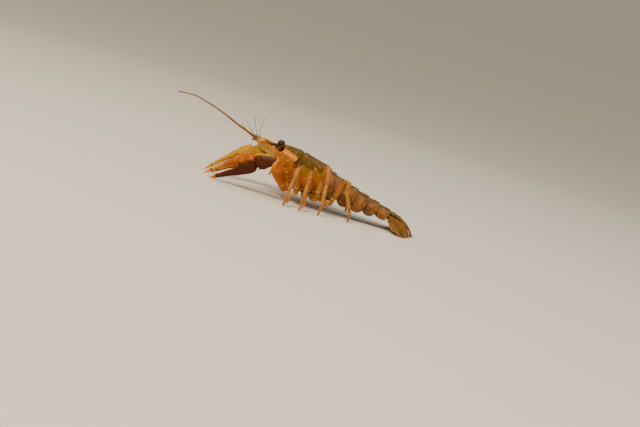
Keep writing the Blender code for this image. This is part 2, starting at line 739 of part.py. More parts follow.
def tapered(points, radii, steps):
    """A smooth path through points with a radius for each of its points."""
    path = smooth_path(points, steps)
    table = list(enumerate(radii))
    return path, [(row_at(table, i / steps)[0],) * 2 for i in range(len(path))]


def flagellum(name, points, root_direction):
    """A long feeler as two lengths that meet at a fine gap."""
    path = smooth_path(points, ANTENNA_STEPS)
    last = len(path) - 1
    middle = last // 2
    halves = [(lerp(*ANTENNA_HALVES, (i / last) ** ANTENNA_TAPER),) * 2 for i in range(last + 1)]
    along = (path[middle + 1] - path[middle]).normalized()
    near = tube("flagellum", path[: middle + 1], halves[: middle + 1], 7, first_normal=root_direction)
    far = tube("flagellum", [path[middle] + along * GAP, *path[middle + 1 :]], halves[middle:], 7)
    node(f"{name}_1", [near], SHELL)
    node(f"{name}_2", [far], SHELL)


def feelers():
    """Antennae with their bases and scales, and the two forked small feelers between them."""
    for side, word in SIDES:
        base, halves = tapered([mirrored(p, side) for p in ANTENNA_BASE], ANTENNA_BASE_HALVES, 2)
        node(f"antenna_base_{word}", [tube("base", base, halves, 10)], PALE_SHELL)
        points = [mirrored(p, side) for p in (ANTENNA_LEFT if side == LEFT else ANTENNA_RIGHT)]
        flagellum(f"antenna_flagellum_{word}", points, base[-1] - base[-2])
        node(f"antenna_scale_{word}", [antenna_scale(side)], SHELL)
        node(f"antennule_{word}", antennule(side), PALE_SHELL)


def antenna_scale(side):
    """The flat pointed blade outside each antenna."""
    path = [mirrored(row[:3], side) for row in SCALE]
    halves = [(row[3], min(SCALE_HALF_DEPTH, row[3] * 2)) for row in SCALE]
    return tube("scale", path, halves, 8)


def antennule(side):
    """A short stem that carries two thin feelers."""
    root, elbow = mirrored(ANTENNULE_ROOT, side), mirrored(ANTENNULE_ELBOW, side)
    pieces = [podomere(root, elbow, STEM_RADII, UP, 8)]
    for tip, (x, y, z) in zip(ANTENNULE_TIPS[side], FORK_TURNS):
        end = mirrored(tip, side)
        turn = elbow + vec(x, side * y, z)
        path = smooth_path([elbow + BACK * 0.6, turn, lerp(turn, end, 0.5) + vec(*FORK_BOW), end], 4)
        halves = [(lerp(*FORK_HALVES, i / (len(path) - 1)),) * 2 for i in range(len(path))]
        pieces.append(tube("feeler", path, halves, 6))
    return pieces


def maxillipeds():
    """The pair of leg-like mouthparts that lie under the head."""
    for side, word in SIDES:
        path, halves = tapered([mirrored(p, side) for p in MAXILLIPED], MAXILLIPED_HALVES, 2)
        node(f"maxilliped_{word}", [tube("maxilliped", path, halves, 8, BACK, -UP)], PALE_SHELL)


def halving(before, joint, after):
    """Normal of the plane that halves the bend at a joint."""
    return ((joint - before).normalized() + (after - joint).normalized()).normalized()


def bevel_middle(x, side):
    """Middle of the slanted face under the thorax at x."""
    _, half, bottom = row_at(CORE, x)
    slant, rise = CORE_BEVEL
    return vec(x, side * (half - slant / 2), bottom + rise / 2)


def thorax_root(x, side):
    """Middle and outward normal of the slanted face under the thorax at x."""
    slant, rise = CORE_BEVEL
    along = bevel_middle(x + 1, side) - bevel_middle(x - 1, side)
    normal = along.cross(Vector((0, side * slant, rise))).normalized()
    return bevel_middle(x, side), normal if normal.y * side > 0 else -normal


def limb_tube(joints, stations, count, first_normal=None, last_normal=None, flat=1.0):
    """A tube through joints. stations give the joint run, the share of it and the radius."""
    path, halves = [], []
    for run, share, radius in stations:
        path.append(joints[run].lerp(joints[run + 1], share))
        halves.append((radius * flat, radius))
    return tube("limb", path, halves, count, first_normal=first_normal, last_normal=last_normal)


def pincer(palm, foot):
    """The small second finger of a leg that ends in a pincer."""
    along = (foot - palm).normalized()
    off = along.cross(ACROSS).normalized()
    back, side_step, thin = PINCER_TIP
    path = [palm + along * run + off * step for run, step, _ in PINCER]
    path.append(foot - along * back + off * side_step)
    halves = [(r, r) for _, _, r in PINCER] + [(thin, thin)]
    return tube("pincer", path, halves, 6)


def leg_joints(number, side):
    """Hip, knee, wrist, palm and foot of a leg. The right legs stand a little apart from the left pose."""
    joints = [mirrored(p, side) for p in LEGS[number][1:]]
    if side == RIGHT:
        shift, drop = RIGHT_LEG_SHIFT[number], RIGHT_KNEE_DROP[number]
        for joint, a, b, c in zip(joints, SHIFT_SHARES, DROP_SHARES, SPREAD_SHARES):
            joint += vec(shift * a, drop * c, -drop * b)
    return joints


def walking_leg(number, side):
    """Upper and lower length of a walking leg, parted at the knee."""
    root, out = thorax_root(LEGS[number][0], side)
    hip, knee, wrist, palm, foot = leg_joints(number, side)
    start = root + out * ROOT_GAP
    bend = halving(hip, knee, wrist)
    coxa = start + out * COXA_RUN
    stations = [*LEG_ROOT, *UPPER_LEG]
    if (hip - coxa).length > LONG_HIP:
        stations.insert(len(LEG_ROOT), LONG_HIP_STATION)
    joints = [start, coxa, hip, knee, knee + bend * KNEE_RUN]
    upper_leg = limb_tube(joints, stations, LEG_SIDES, first_normal=out, last_normal=bend)
    below = knee + bend * (KNEE_RUN + GAP)
    joints = [below, below + bend * KNEE_RUN, wrist, palm, foot]
    lower_leg = [limb_tube(joints, LOWER_LEG, LEG_SIDES, first_normal=bend, last_normal=-UP)]
    if number in PINCER_LEGS:
        lower_leg.append(pincer(palm, foot))
    return upper_leg, lower_leg


def walking_legs():
    """Four pairs of walking legs."""
    for number in LEGS:
        for side, word in SIDES:
            upper_leg, lower_leg = walking_leg(number, side)
            node(f"leg_{number}_{word}_upper", [upper_leg], PALE_SHELL)
            node(f"leg_{number}_{word}_lower", lower_leg, PALE_SHELL)


def claw_tube(wrist, ahead, up, rows, tip, flat_end=False):
    """A skin along a claw's middle line: its rings stand square to the claw, deep along up."""
    side = ahead.cross(up).normalized()
    rings = []
    for t, h, deep, thick in rows:
        rings.append(oval(wrist + ahead * t + up * h, side, up, thick, deep, CLAW_SIDES))
    if tip:
        point = wrist + ahead * tip[0] + up * tip[1]
        tip_side, tip_up = side, up
        if flat_end:
            point.z = 0.0
            tip_up = vec(ahead.x, ahead.y, 0).normalized()
            tip_side = tip_up.cross(UP)
        rings.append(oval(point, tip_side, tip_up, TIP_RADIUS, TIP_RADIUS, CLAW_SIDES))
    return loft("claw", rings)


def inner_side(ahead, up, side):
    """Direction across a claw that faces the animal's middle."""
    across = ahead.cross(up).normalized()
    return across if across.y * side < 0 else -across


def wrist_spines(elbow, wrist, side):
    """The long spur on the inner side of the wrist piece, and the small spines near it."""
    ahead = (wrist - elbow).normalized()
    inner = inner_side(ahead, UP, side)
    up = (UP - ahead * UP.dot(ahead)).normalized()
    share, offset, length, radius = WRIST_SPUR
    spur = spine(elbow.lerp(wrist, share) + inner * offset, inner + ahead * 0.8, length, radius, sink=1.2)
    share, offset, length, radius = WRIST_SPINE_ABOVE
    upper = spine(elbow.lerp(wrist, share) + up * offset, up * 0.7 + ahead, length, radius, sink=1.0)
    share, offset, length, radius = WRIST_SPINE_BELOW
    root = elbow.lerp(wrist, share) - up * offset + inner * 0.6
    return [spur, upper, spine(root, ahead - up * 0.8, length, radius, sink=1.0)]


def arm_spines(hip, elbow, side):
    """Spines near the outer end of the upper arm: one pair above and a row below."""
    ahead = (elbow - hip).normalized()
    inner = inner_side(ahead, UP, side)
    up = inner.cross(ahead).normalized()
    up = up if up.x < 0 else -up
    found = []
    for share, offset, length, radius in ARM_SPINES_ABOVE:
        found.append(spine(hip.lerp(elbow, share) + up * offset, up + ahead * 0.8, length, radius, sink=1.0))
    for share, offset, length, radius in ARM_SPINES_BELOW:
        root = hip.lerp(elbow, share) - up * offset + inner * 1.2
        found.append(spine(root, ahead * 0.7 - up, length, radius, sink=1.0))
    return found


def claw_bumps(wrist, ahead, up, side):
    """Low blunt knobs along the inner edge of the palm, and teeth on the fixed finger."""
    inner = inner_side(ahead, up, side)
    found = []
    for t, h in PALM_KNOBS:
        found.append(spine(wrist + ahead * t + up * h, up + inner * 0.3 + ahead * 0.4, *KNOB, sink=0.7))
    for t, h in INNER_KNOBS:
        root = wrist + ahead * t + up * h + inner * INNER_KNOB_OFFSET
        found.append(spine(root, inner + up * 0.6, *KNOB, sink=0.8))
    for t, h in FIXED_TEETH:
        found.append(spine(wrist + ahead * t + up * h, up, *TOOTH, sink=0.6))
    return found


def finger_bumps(wrist, ahead, up, rows):
    """Teeth along the cutting edge of the movable finger."""
    found = []
    for t in MOVABLE_TEETH:
        h, deep, _ = row_at(rows, t)
        found.append(spine(wrist + ahead * t + up * (h - deep + 0.05), -up, *TOOTH, sink=0.6))
    return found


def claw_limb(side, word):
    """One claw limb: root, upper arm, wrist piece, palm with its fixed finger, and movable finger."""
    root_x, hip, elbow, wrist, tips = CLAW_ARM[side]
    hip, elbow, wrist, tips = (mirrored(p, side) for p in (hip, elbow, wrist, tips))
    root, out = thorax_root(root_x, side)
    start = root + out * ROOT_GAP
    turn = halving(start + out, hip, elbow)
    joints = [start, hip - turn * (GAP / 2)]
    coxa = limb_tube(joints, ROOT_STATIONS, 10, first_normal=out, last_normal=turn)
    node(f"claw_root_{word}", [coxa], PALE_SHELL)

    bend = halving(hip, elbow, wrist)
    joints = [hip + turn * (GAP / 2), elbow - bend * (GAP / 2)]
    arm = limb_tube(joints, ARM_STATIONS, 10, first_normal=turn, last_normal=bend, flat=ARM_FLATNESS)
    node(f"claw_arm_{word}", [arm, *arm_spines(hip, elbow, side)], PALE_SHELL)

    ahead = (tips - wrist).normalized()
    up = (UP - ahead * UP.dot(ahead)).normalized()
    joints = [elbow + bend * (GAP / 2), wrist - ahead * GAP / 2]
    carpus = limb_tube(joints, WRIST_STATIONS, CLAW_SIDES, bend, ahead, WRIST_FLATNESS)
    node(f"claw_wrist_{word}", [carpus, *wrist_spines(elbow, wrist, side)], SHELL)

    palm = claw_tube(wrist, ahead, up, PALM, None)
    finger = claw_tube(wrist, ahead, up, FIXED_FINGER, FIXED_TIP, flat_end=True)
    node(f"claw_palm_{word}", [palm, finger, *claw_bumps(wrist, ahead, up, side)], SHELL)

    close, hinge = FINGER_CLOSE[side], DACTYL[0][0]
    rows = [(t, h - (t - hinge) * close, deep, thick) for t, h, deep, thick in DACTYL]
    tip = (DACTYL_TIP[0], DACTYL_TIP[1] - (DACTYL_TIP[0] - hinge) * close)
    movable = claw_tube(wrist, ahead, up, rows, tip)
    node(f"claw_finger_{word}", [movable, *finger_bumps(wrist, ahead, up, rows)], SHELL)


def centre_on_floor():
    """Moves the whole model so that the middle of its box's underside is the origin."""
    bpy.context.view_layer.update()
    corners = [obj.matrix_world @ v.co for obj in bpy.data.objects for v in obj.data.vertices]
    low = Vector(min(c[i] for c in corners) for i in range(3))
    high = Vector(max(c[i] for c in corners) for i in range(3))
    shift = Vector((-(low.x + high.x) / 2, -(low.y + high.y) / 2, -low.z))
    for obj in bpy.data.objects:
        obj.data.transform(Matrix.Translation(shift))


def main():
    for obj in list(bpy.data.objects):
        bpy.data.objects.remove(obj)
    head_and_thorax()
    eyes()
    abdomen()
    tail_fan()
    feelers()
    maxillipeds()
    walking_legs()
    for side, word in SIDES:
        claw_limb(side, word)
    centre_on_floor()


main()
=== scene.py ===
"""Fine, painted pieces of the crayfish model, with its floor, lights and camera."""

import math
import random

import bpy
import numpy as np
from mathutils import Matrix, Vector, noise


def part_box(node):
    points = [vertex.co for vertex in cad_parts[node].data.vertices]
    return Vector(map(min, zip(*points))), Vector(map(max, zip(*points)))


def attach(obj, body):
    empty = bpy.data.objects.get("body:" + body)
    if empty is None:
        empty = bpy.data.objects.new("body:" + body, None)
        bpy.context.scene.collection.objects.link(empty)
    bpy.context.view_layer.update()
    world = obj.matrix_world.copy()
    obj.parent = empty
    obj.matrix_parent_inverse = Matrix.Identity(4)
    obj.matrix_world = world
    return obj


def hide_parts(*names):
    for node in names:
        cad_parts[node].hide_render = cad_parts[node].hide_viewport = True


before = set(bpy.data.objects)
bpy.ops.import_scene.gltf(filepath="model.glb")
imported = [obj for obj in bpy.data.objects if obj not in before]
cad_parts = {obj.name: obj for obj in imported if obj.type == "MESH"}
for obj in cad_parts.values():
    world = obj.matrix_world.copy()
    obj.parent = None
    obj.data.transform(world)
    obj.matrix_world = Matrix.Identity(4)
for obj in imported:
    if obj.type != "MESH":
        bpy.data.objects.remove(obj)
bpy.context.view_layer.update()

# Lengths below are millimetres in the model's own layout. SHIFT moves that layout onto the frame.
MM = 0.001
LEFT, RIGHT = -1, 1
SIDES = ((LEFT, "left"), (RIGHT, "right"))
UP, BACK, ACROSS = np.array([0.0, 0, 1]), np.array([1.0, 0, 0]), np.array([0.0, 1, 0])
THORAX_END = 54.7
LOW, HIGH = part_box("thorax_core")
SHIFT = np.array([HIGH.x - THORAX_END * MM, (LOW.y + HIGH.y) / 2, 0.0])

# Carapace: rows of x, top height, half width, height of the widest point, height of the lower edge.
CARAPACE = (
    (27.0, 24.9, 4.9, 20.6, 17.8),
    (30.0, 25.5, 6.7, 19.6, 15.2),
    (34.0, 25.8, 8.6, 17.8, 12.2),
    (39.0, 25.3, 10.2, 16.0, 9.2),
    (45.0, 23.8, 10.9, 15.0, 7.8),
    (51.0, 22.4, 10.2, 15.0, 8.6),
    (55.0, 21.7, 8.9, 15.4, 10.2),
)
ARCH_SHARE = 0.64
ARCH_POWER = 0.94
WALL_TUCK = 0.13
GROOVE_AT = 0.45
FRONT_MARGIN = (28.0, 30.2, 28.4, 34.0)
GROOVE_LINE = (40.2, 39.4, 37.0, 36.6)
REAR_MARGIN = (53.6, 54.5, 54.2, 49.6)
MARGIN_STOPS = (0.0, 0.33, 0.62, 1.0)
SHELL_THICKNESS = 0.5
SHELL_GRID = (151, 231)
SHELL_LUMPS = ((0.10, 3.2), (0.035, 0.8))
# Cheek thorns: share of the way back, share of the way down, length and radius.
CHEEK_SPINES = (
    (0.17, 0.60, 1.15, 0.42), (0.22, 0.70, 1.15, 0.42), (0.27, 0.58, 1.15, 0.42), (0.28, 0.78, 1.15, 0.42),
    (0.33, 0.67, 1.15, 0.42), (0.35, 0.84, 1.15, 0.42), (0.53, 0.55, 1.20, 0.45), (0.04, 0.47, 1.00, 0.40),
)
CHEEK_SPINE_LEAN = 0.75
RIDGE_SPINE = (0.06, 0.20, 1.4, 0.5)
SMALL_SPINES = 26
GROOVE_SPINES = 7
SMALL_SPINE_SPACING = 0.95

# Rostrum: rows of x, top height, half width.
ROSTRUM = (
    (33.0, 25.5, 2.0), (30.0, 25.6, 2.7), (27.0, 25.2, 2.45), (22.0, 24.5, 2.15), (18.2, 24.0, 1.95),
    (17.0, 23.85, 1.2), (13.0, 23.9, 0.25),
)
ROSTRUM_DEPTH = 1.5
ROSTRUM_RIM = 0.45
ROSTRAL_SPINE = (18.4, 1.7, 23.7, 1.9, 0.45)

# Body core: rows of x, top height, half width, bottom height.
CORE = (
    (24.6, 22.4, 2.3, 18.0), (28.0, 22.6, 4.2, 14.8), (32.0, 20.6, 5.2, 11.2), (34.5, 19.4, 6.2, 7.8),
    (37.0, 18.0, 6.9, 6.5), (45.0, 17.0, 7.9, 5.4), (52.0, 16.4, 7.3, 5.6), (54.7, 15.8, 6.4, 6.6),
)
CORE_CHAMFER = 1.5
CORE_BEVEL = (2.6, 3.2)
# Soft skin behind the carapace: rows of x and distance inside the shell's outline.
NECK_SKIN = ((49.6, 1.0), (51.2, 1.0), (52.2, 1.5), (52.9, 2.3), (53.6, 3.0))
CORE_SPLIT = 33.0
JAW = ((32.6, 2.6, 9.9), (31.4, 1.9, 10.7), (30.2, 1.0, 11.9))
BROW = ((32.4, 0, 23.4), (30.0, 0, 23.3), (27.6, 0, 23.0), (25.8, 0, 22.7))

EYES = {LEFT: (27.9, -4.6, 26.1), RIGHT: (27.7, 4.7, 25.2)}
EYE_RADIUS = 1.75
ORBIT_RADIUS = 2.15
EYE_STALK_ROOT = (27.5, 3.1, 22.9)
EYE_GAZE = (-0.35, 0.75, 0.55)

# Abdomen: crest points, then each segment's length, half width, arch depth, side plate and swimmeret.
ABDOMEN_CREST = (
    (55.3, 20.7), (59.0, 19.2), (63.5, 17.5), (70.0, 15.4), (77.5, 13.2), (84.0, 11.5), (91.0, 9.3),
)
SEGMENTS = (
    (3.4, 8.3, 8.0, 1.6, 3.6), (6.3, 9.3, 7.6, 4.6, 5.0), (6.3, 9.1, 7.0, 4.3, 4.6),
    (6.0, 8.7, 6.2, 3.8, 4.2), (5.6, 8.0, 5.2, 3.0, 3.8), (6.6, 7.0, 4.4, 1.8, 0.0),
)
GAP = 0.3
FRONT_TUCK = 0.75
UPRIGHT_RUN = 5.0
PLATE_SHARE = 0.93
PLATE_THICKNESS = 0.9
BELLY_SHARE = 0.68
REAR_LIP = 0.42
SEGMENT_ROWS = 30
SEGMENT_SIDES = 150
SEGMENT_POWER = 0.9
FIRST_PLATE_REACH = -0.7
STALK_SHARE = 0.42
PADDLES = ((0.35, 0.6), (-0.25, 0.51))
SWIMMERET_OFFSET = 0.42

# Tail fan: rows of share of the reach and share of the half width, then each blade's measures.
TELSON_SHAPE = (
    (0.0, 0.78), (0.15, 0.92), (0.40, 1.0), (0.62, 0.98), (0.66, 0.90), (0.84, 0.82), (0.95, 0.70),
    (1.0, 0.50),
)
UROPOD_SHAPE = (
    (0.0, 0.32), (0.15, 0.58), (0.40, 0.94), (0.64, 1.0), (0.84, 0.88), (0.95, 0.66), (1.0, 0.42),
)
TELSON = (0.0, 1.1, 13.6, 0.0, 4.5, 0.55)
ENDOPOD = (3.4, 2.5, 11.9, 4.3, 2.9, 0.33)
EXOPOD = (4.7, 3.7, 9.4, 7.6, 3.2, 0.33)
BLADE_ARCH = (1.6, 0.7)
BLADE_ROWS = 64
# Places across a blade, over its upper face and back along its lower one.
BLADE_RING = np.concatenate([np.linspace(-1, 1, 33), np.linspace(1, -1, 33)[1:-1]])
SUTURE = 0.63

# Feelers.
ANTENNA_BASE = ((25.6, 4.1, 19.6), (22.6, 5.0, 21.0), (19.6, 5.5, 22.5), (16.9, 5.9, 24.2))
ANTENNA_BASE_HALVES = (1.3, 1.5, 1.2, 0.9)
ANTENNA_LEFT = (
    (16.6, 5.95, 24.5), (11.0, 8.0, 27.2), (5.2, 10.0, 29.5), (-3.8, 12.0, 33.3),
    (-12.5, 14.0, 36.1), (-18.1, 15.0, 37.2), (-25.6, 16.0, 36.8),
)
ANTENNA_RIGHT = (
    (16.6, 5.95, 24.5), (13.3, 7.9, 24.7), (12.9, 11.0, 24.0), (16.8, 13.4, 23.4),
    (23.5, 14.6, 23.0), (30.5, 16.8, 22.3), (38.5, 19.5, 21.2), (50.0, 21.8, 18.2), (61.0, 23.0, 15.0),
)
ANTENNA_HALVES = (0.72, 0.26)
ANTENNA_TAPER = 0.8
RING_LENGTH = 0.55
SCALE = (
    (24.6, 5.5, 22.0, 0.6), (23.6, 6.8, 23.5, 1.1), (21.0, 7.8, 24.2, 1.7),
    (18.3, 8.3, 24.4, 1.5), (16.4, 8.5, 24.4, 0.8), (15.2, 9.1, 24.3, 0.12),
)
SCALE_HALF_DEPTH = 0.32
SCALE_SOCKET = ((25.0, 4.5, 20.4), (24.4, 5.5, 21.7), (23.4, 6.5, 22.9), (22.6, 7.0, 23.6))
SCALE_SOCKET_HALVES = (1.4, 1.25, 1.05, 0.55)
ANTENNULE_ROOT = (24.2, 1.25, 20.6)
ANTENNULE_ELBOW = (18.4, 1.9, 21.4)
ANTENNULE_TIPS = {
    LEFT: ((6.9, 5.2, 29.6), (8.3, 3.8, 32.1)),
    RIGHT: ((11.1, 3.6, 34.6), (16.3, 4.6, 35.4)),
}
FORK_TURNS = ((-2.2, 1.9, 2.1), (-2.2, 1.2, 2.6))
FORK_BOW = (-0.7, 0.0, 0.3)
FORK_HALVES = (0.34, 0.15)
MAXILLIPED = (
    (37.8, 2.3, 5.8), (36.4, 2.5, 4.9), (33.4, 2.6, 6.6), (29.8, 2.5, 10.2), (27.0, 2.2, 11.6),
    (26.2, 1.9, 9.0),
)
MAXILLIPED_HALVES = (0.85, 1.05, 1.15, 1.0, 0.7, 0.3)

# Claw limbs.
CLAW_ARM = {
    LEFT: (36.4, (35.6, 10.4, 6.0), (28.2, 17.2, 17.6), (19.3, 14.1, 15.3), (-2.6, 8.5, 1.0)),
    RIGHT: (36.4, (35.6, 10.4, 6.0), (24.8, 14.8, 19.4), (15.8, 13.8, 16.2), (-5.7, 9.0, 1.0)),
}
PALM = (
    (0.15, 0.1, 3.2, 2.2), (1.6, 0.1, 4.7, 2.7), (4.2, 0.0, 5.1, 2.95),
    (8.1, -0.1, 4.6, 2.8), (9.2, -2.2, 2.3, 2.1),
)
FIXED_FINGER = (
    (7.6, -1.9, 2.7, 2.2), (11.0, -2.3, 2.1, 1.9), (15.4, -2.0, 1.5, 1.45),
    (19.8, -1.9, 1.15, 1.1), (23.8, -1.8, 0.7, 0.7),
)
FIXED_TIP = (25.7, -1.75)
FINGER_CLOSE = {LEFT: 0.0, RIGHT: 0.055}
DACTYL = (
    (9.3, 2.9, 1.2, 1.3), (10.4, 3.0, 1.75, 1.6), (13.5, 2.75, 1.45, 1.35),
    (18.9, 2.4, 1.05, 1.05), (24.1, 1.95, 0.75, 0.75),
)
DACTYL_TIP = (27.9, 1.3)
HINGE = ((7.2, 2.7, 1.5, 1.2), (8.4, 2.85, 1.75, 1.4), (9.3, 2.95, 1.6, 1.45))
TIP_RADIUS = 0.32
ROOT_STATIONS = ((0, 0.0, 1.7), (0, 0.45, 1.9), (0, 1.0, 1.7))
ARM_STATIONS = ((0, 0.0, 1.7), (0, 0.22, 2.4), (0, 0.55, 3.3), (0, 0.82, 3.6), (0, 1.0, 2.8))
WRIST_STATIONS = ((0, 0.0, 2.5), (0, 0.45, 3.7), (0, 0.78, 3.95), (0, 1.0, 3.1))
ARM_FLATNESS = 0.85
WRIST_FLATNESS = 0.9
# Arm thorns: share of the arm and length. Two more rows stand under it, on either side of its middle.
ARM_SPINES = ((0.52, 0.6), (0.66, 1.2), (0.82, 1.2))
ARM_SPINE_RISE = 2.85
ARM_ROWS_BELOW = (1.2, -1.2)
# Wrist thorns: share of the wrist, height and inward reach of the foot, the thorn's way up, inwards and on,
# length, radius, depth of the foot and sides. Wrist knobs: share of the wrist and angle.
WRIST_SPINES = (
    (0.62, 0.0, 3.3, 0.0, 1.0, 0.8, 2.3, 0.6, 1.2, 14),
    (0.78, 3.6, 0.0, 0.7, 0.0, 1.0, 1.2, 0.45, 1.0, 10),
    (0.80, -3.5, 0.6, -0.8, 0.0, 1.0, 1.3, 0.45, 1.0, 10),
)
WRIST_KNOBS = ((0.45, 0.9), (0.6, 1.5), (0.72, 0.6))
WRIST_KNOB_REACH = 3.3
# Knobs along the palm's upper edge and its inner side: distance from the wrist and height.
PALM_KNOBS = (
    (1.4, 4.6), (2.2, 4.8), (3.1, 4.9), (3.9, 5.0), (4.8, 4.95), (5.6, 4.85), (6.4, 4.7), (7.2, 4.5),
)
INNER_KNOBS = ((1.8, 2.8), (2.6, 3.1), (3.6, 3.35), (4.6, 3.35), (5.6, 3.3), (6.6, 3.1))
CLAW_VOXEL = 0.14

# Walking legs: the root's x on the thorax, then the joints out to the foot.
LEGS = {
    2: (41.6, (42.0, 10.8, 5.4), (40.6, 16.0, 17.4), (39.8, 19.4, 13.6), (38.8, 23.2, 6.4), (38.2, 25.4, 0)),
    3: (45.6, (47.0, 11.0, 5.0), (46.4, 16.0, 17.8), (46.6, 19.6, 13.6), (46.6, 23.6, 6.4), (46.2, 25.8, 0)),
    4: (49.2, (51.8, 10.8, 4.9), (53.2, 15.0, 22.0), (55.2, 18.6, 14.2), (55.8, 22.0, 6.1), (55.4, 23.2, 0)),
    5: (52.4, (59.0, 10.9, 4.7), (63.5, 14.2, 18.2), (65.4, 15.2, 14.2), (69.8, 16.0, 4.3), (69.9, 16.3, 0)),
}
RIGHT_LEG_SHIFT = {2: 1.6, 3: -1.4, 4: 1.8, 5: -1.6}
RIGHT_KNEE_DROP = {2: 0.0, 3: 0.0, 4: 4.4, 5: 3.8}
SHIFT_SHARES = (0.0, 0.4, 0.7, 1.0, 1.0)
DROP_SHARES = (0.0, 1.0, 0.95, 0.0, 0.0)
SPREAD_SHARES = (0.0, 0.45, 0.45, 0.2, 0.0)
LEG_ROOT = ((0, 0.0, 1.31), (0, 1.0, 1.37))
LONG_HIP_STATION = (1, 0.6, 1.25)
UPPER_LEG = ((2, 0.0, 1.02), (2, 0.22, 1.23), (2, 0.55, 1.3), (2, 0.84, 1.23), (2, 1.0, 1.1), (3, 1.0, 0.94))
LOWER_LEG = (
    (0, 0.0, 0.9), (1, 0.0, 1.03), (1, 0.45, 1.15), (1, 0.8, 1.13), (2, 0.0, 0.87),
    (2, 0.3, 0.97), (2, 0.75, 0.86), (3, 0.0, 0.7), (3, 0.45, 0.58), (3, 1.0, 0.3),
)
ROOT_GAP = 0.4
COXA_RUN = 1.5
KNEE_RUN = 1.0
LONG_HIP = 4.0
LEG_HAIR_START = 6
PINCER_LEGS = (2, 3)
PINCER = ((-0.6, 0.5, 0.6), (2.0, 1.25, 0.6), (4.0, 1.35, 0.45))
PINCER_TIP = (1.4, 0.75, 0.15)

draw = random.Random(11)


# Vectors and curves

def vec(*values):
    return np.array(values, float)


def unit(v):
    return v / np.linalg.norm(v)


def mirrored(point, side):
    return vec(point[0], side * abs(point[1]), point[2])


def lerp(a, b, t):
    return a + (b - a) * t


def hill(x, centre, width):
    """A smooth bump of height 1 at the centre."""
    return np.exp(-(((x - centre) / width) ** 2))


def ramp(x, low, high):
    """0 below low, 1 above high and smooth between."""
    t = np.clip((x - low) / (high - low), 0, 1)
    return t * t * (3 - 2 * t)


def row_at(rows, x):
    """Values of a table of stations at x, on a smooth curve through its rows."""
    ordered = sorted(rows)
    xs = [row[0] for row in ordered]
    x = min(max(x, xs[0]), xs[-1])
    k = max(i for i in range(len(xs) - 1) if xs[i] <= x)
    before, start, end, after = (ordered[max(0, min(len(xs) - 1, k + i))] for i in (-1, 0, 1, 2))
    span = end[0] - start[0]
    t = (x - start[0]) / span
    values = []
    for c in range(1, len(start)):
        m0 = (end[c] - before[c]) / (end[0] - before[0]) * span
        m1 = (after[c] - start[c]) / (after[0] - start[0]) * span
        values.append(
            start[c] * (2 * t**3 - 3 * t**2 + 1) + m0 * (t**3 - 2 * t**2 + t)
            + end[c] * (3 * t**2 - 2 * t**3) + m1 * (t**3 - t**2)
        )
    return values


def smooth_path(points, steps):
    """Points on a smooth curve through the given points, steps for each span."""
    knots = [vec(*p) for p in points]
    path = []
    for k in range(len(knots) - 1):
        before, start, end = knots[max(0, k - 1)], knots[k], knots[k + 1]
        after = knots[min(len(knots) - 1, k + 2)]
        for t in np.arange(steps) / steps:
            path.append(
                0.5 * (2 * start + (end - before) * t + (2 * before - 5 * start + 4 * end - after) * t**2
                       + (3 * start - before - 3 * end + after) * t**3)
            )
    path.append(knots[-1])
    return np.array(path)


def run_of(path):
    """Length along a path up to each of its points."""
    return np.append(0, np.cumsum(np.linalg.norm(np.diff(path, axis=0), axis=1)))


def at_run(path, run, places):
    """Points of a path at the given lengths along it."""
    return np.stack([np.interp(places, run, path[:, c]) for c in range(3)], axis=1)


def resample_ring(corners, count, rounding=3):
    """A closed outline spread evenly over its length, with its corners softened."""
    ring = np.array(corners)
    dense = np.concatenate([lerp(ring, np.roll(ring, -1, 0), t)[:, None] for t in np.arange(8) / 8], axis=1)
    dense = dense.reshape(-1, 3)
    for _ in range(rounding):
        dense = (np.roll(dense, 1, 0) + 2 * dense + np.roll(dense, -1, 0)) / 4
    closed = np.vstack([dense, dense[:1]])
    run = run_of(closed)
    at = np.linspace(0, run[-1], count, endpoint=False)
    return at_run(closed, run, at)


# Skins: closed surfaces as points, faces and painted masks

def skin(points, faces, **masks):
    """A surface whose faces point outwards."""
    volume = 0.0
    for group in faces:
        corners = points[group]
        for k in range(1, group.shape[1] - 1):
            volume += np.einsum("ij,ij->i", corners[:, 0], np.cross(corners[:, k], corners[:, k + 1])).sum()
    if volume < 0:
        faces = [group[:, ::-1] for group in faces]
    return {"points": points, "faces": faces, "masks": masks}


def loft(rings, **masks):
    """A closed skin over rings of equal count. Its masks along and around follow the rings."""
    rings = np.array(rings)
    rows, count = rings.shape[:2]
    index = np.arange(rows * count).reshape(rows, count)
    quads = np.stack([index[:-1], np.roll(index, -1, 1)[:-1], np.roll(index, -1, 1)[1:], index[1:]], axis=-1)
    ends = np.array([rings[0].mean(0), rings[-1].mean(0)])
    points = np.vstack([rings.reshape(-1, 3), ends])
    caps = []
    for ring, middle, turn in ((index[0], rows * count, 1), (index[-1], rows * count + 1, -1)):
        fan = np.stack([np.roll(ring, -1), ring, np.full(count, middle)], axis=-1)
        caps.append(fan[:, ::turn])
    along = np.append(np.repeat(np.linspace(0, 1, rows), count), [0, 1])
    around = np.append(np.tile(np.arange(count) / count, rows), [0, 0])
    filled = {name: np.append(np.asarray(m, float).reshape(-1), [0, 0]) for name, m in masks.items()}
    return skin(points, [quads.reshape(-1, 4), np.vstack(caps)], along=along, around=around, **filled)


def normals(s):
    """Outward normals of a skin's points."""
    total = np.zeros_like(s["points"])
    for group in s["faces"]:
        c = s["points"][group]
        face = np.cross(c[:, 1] - c[:, 0], c[:, -1] - c[:, 0]) if group.shape[1] == 3 else np.cross(
            c[:, 2] - c[:, 0], c[:, 3] - c[:, 1])
        for k in range(group.shape[1]):
            np.add.at(total, group[:, k], face)
    length = np.linalg.norm(total, axis=1, keepdims=True)
    return total / np.maximum(length, 1e-12)


def push(s, height):
    """Moves a skin's points along its normals."""
    s["points"] = s["points"] + normals(s) * np.asarray(height)[:, None]
    return s


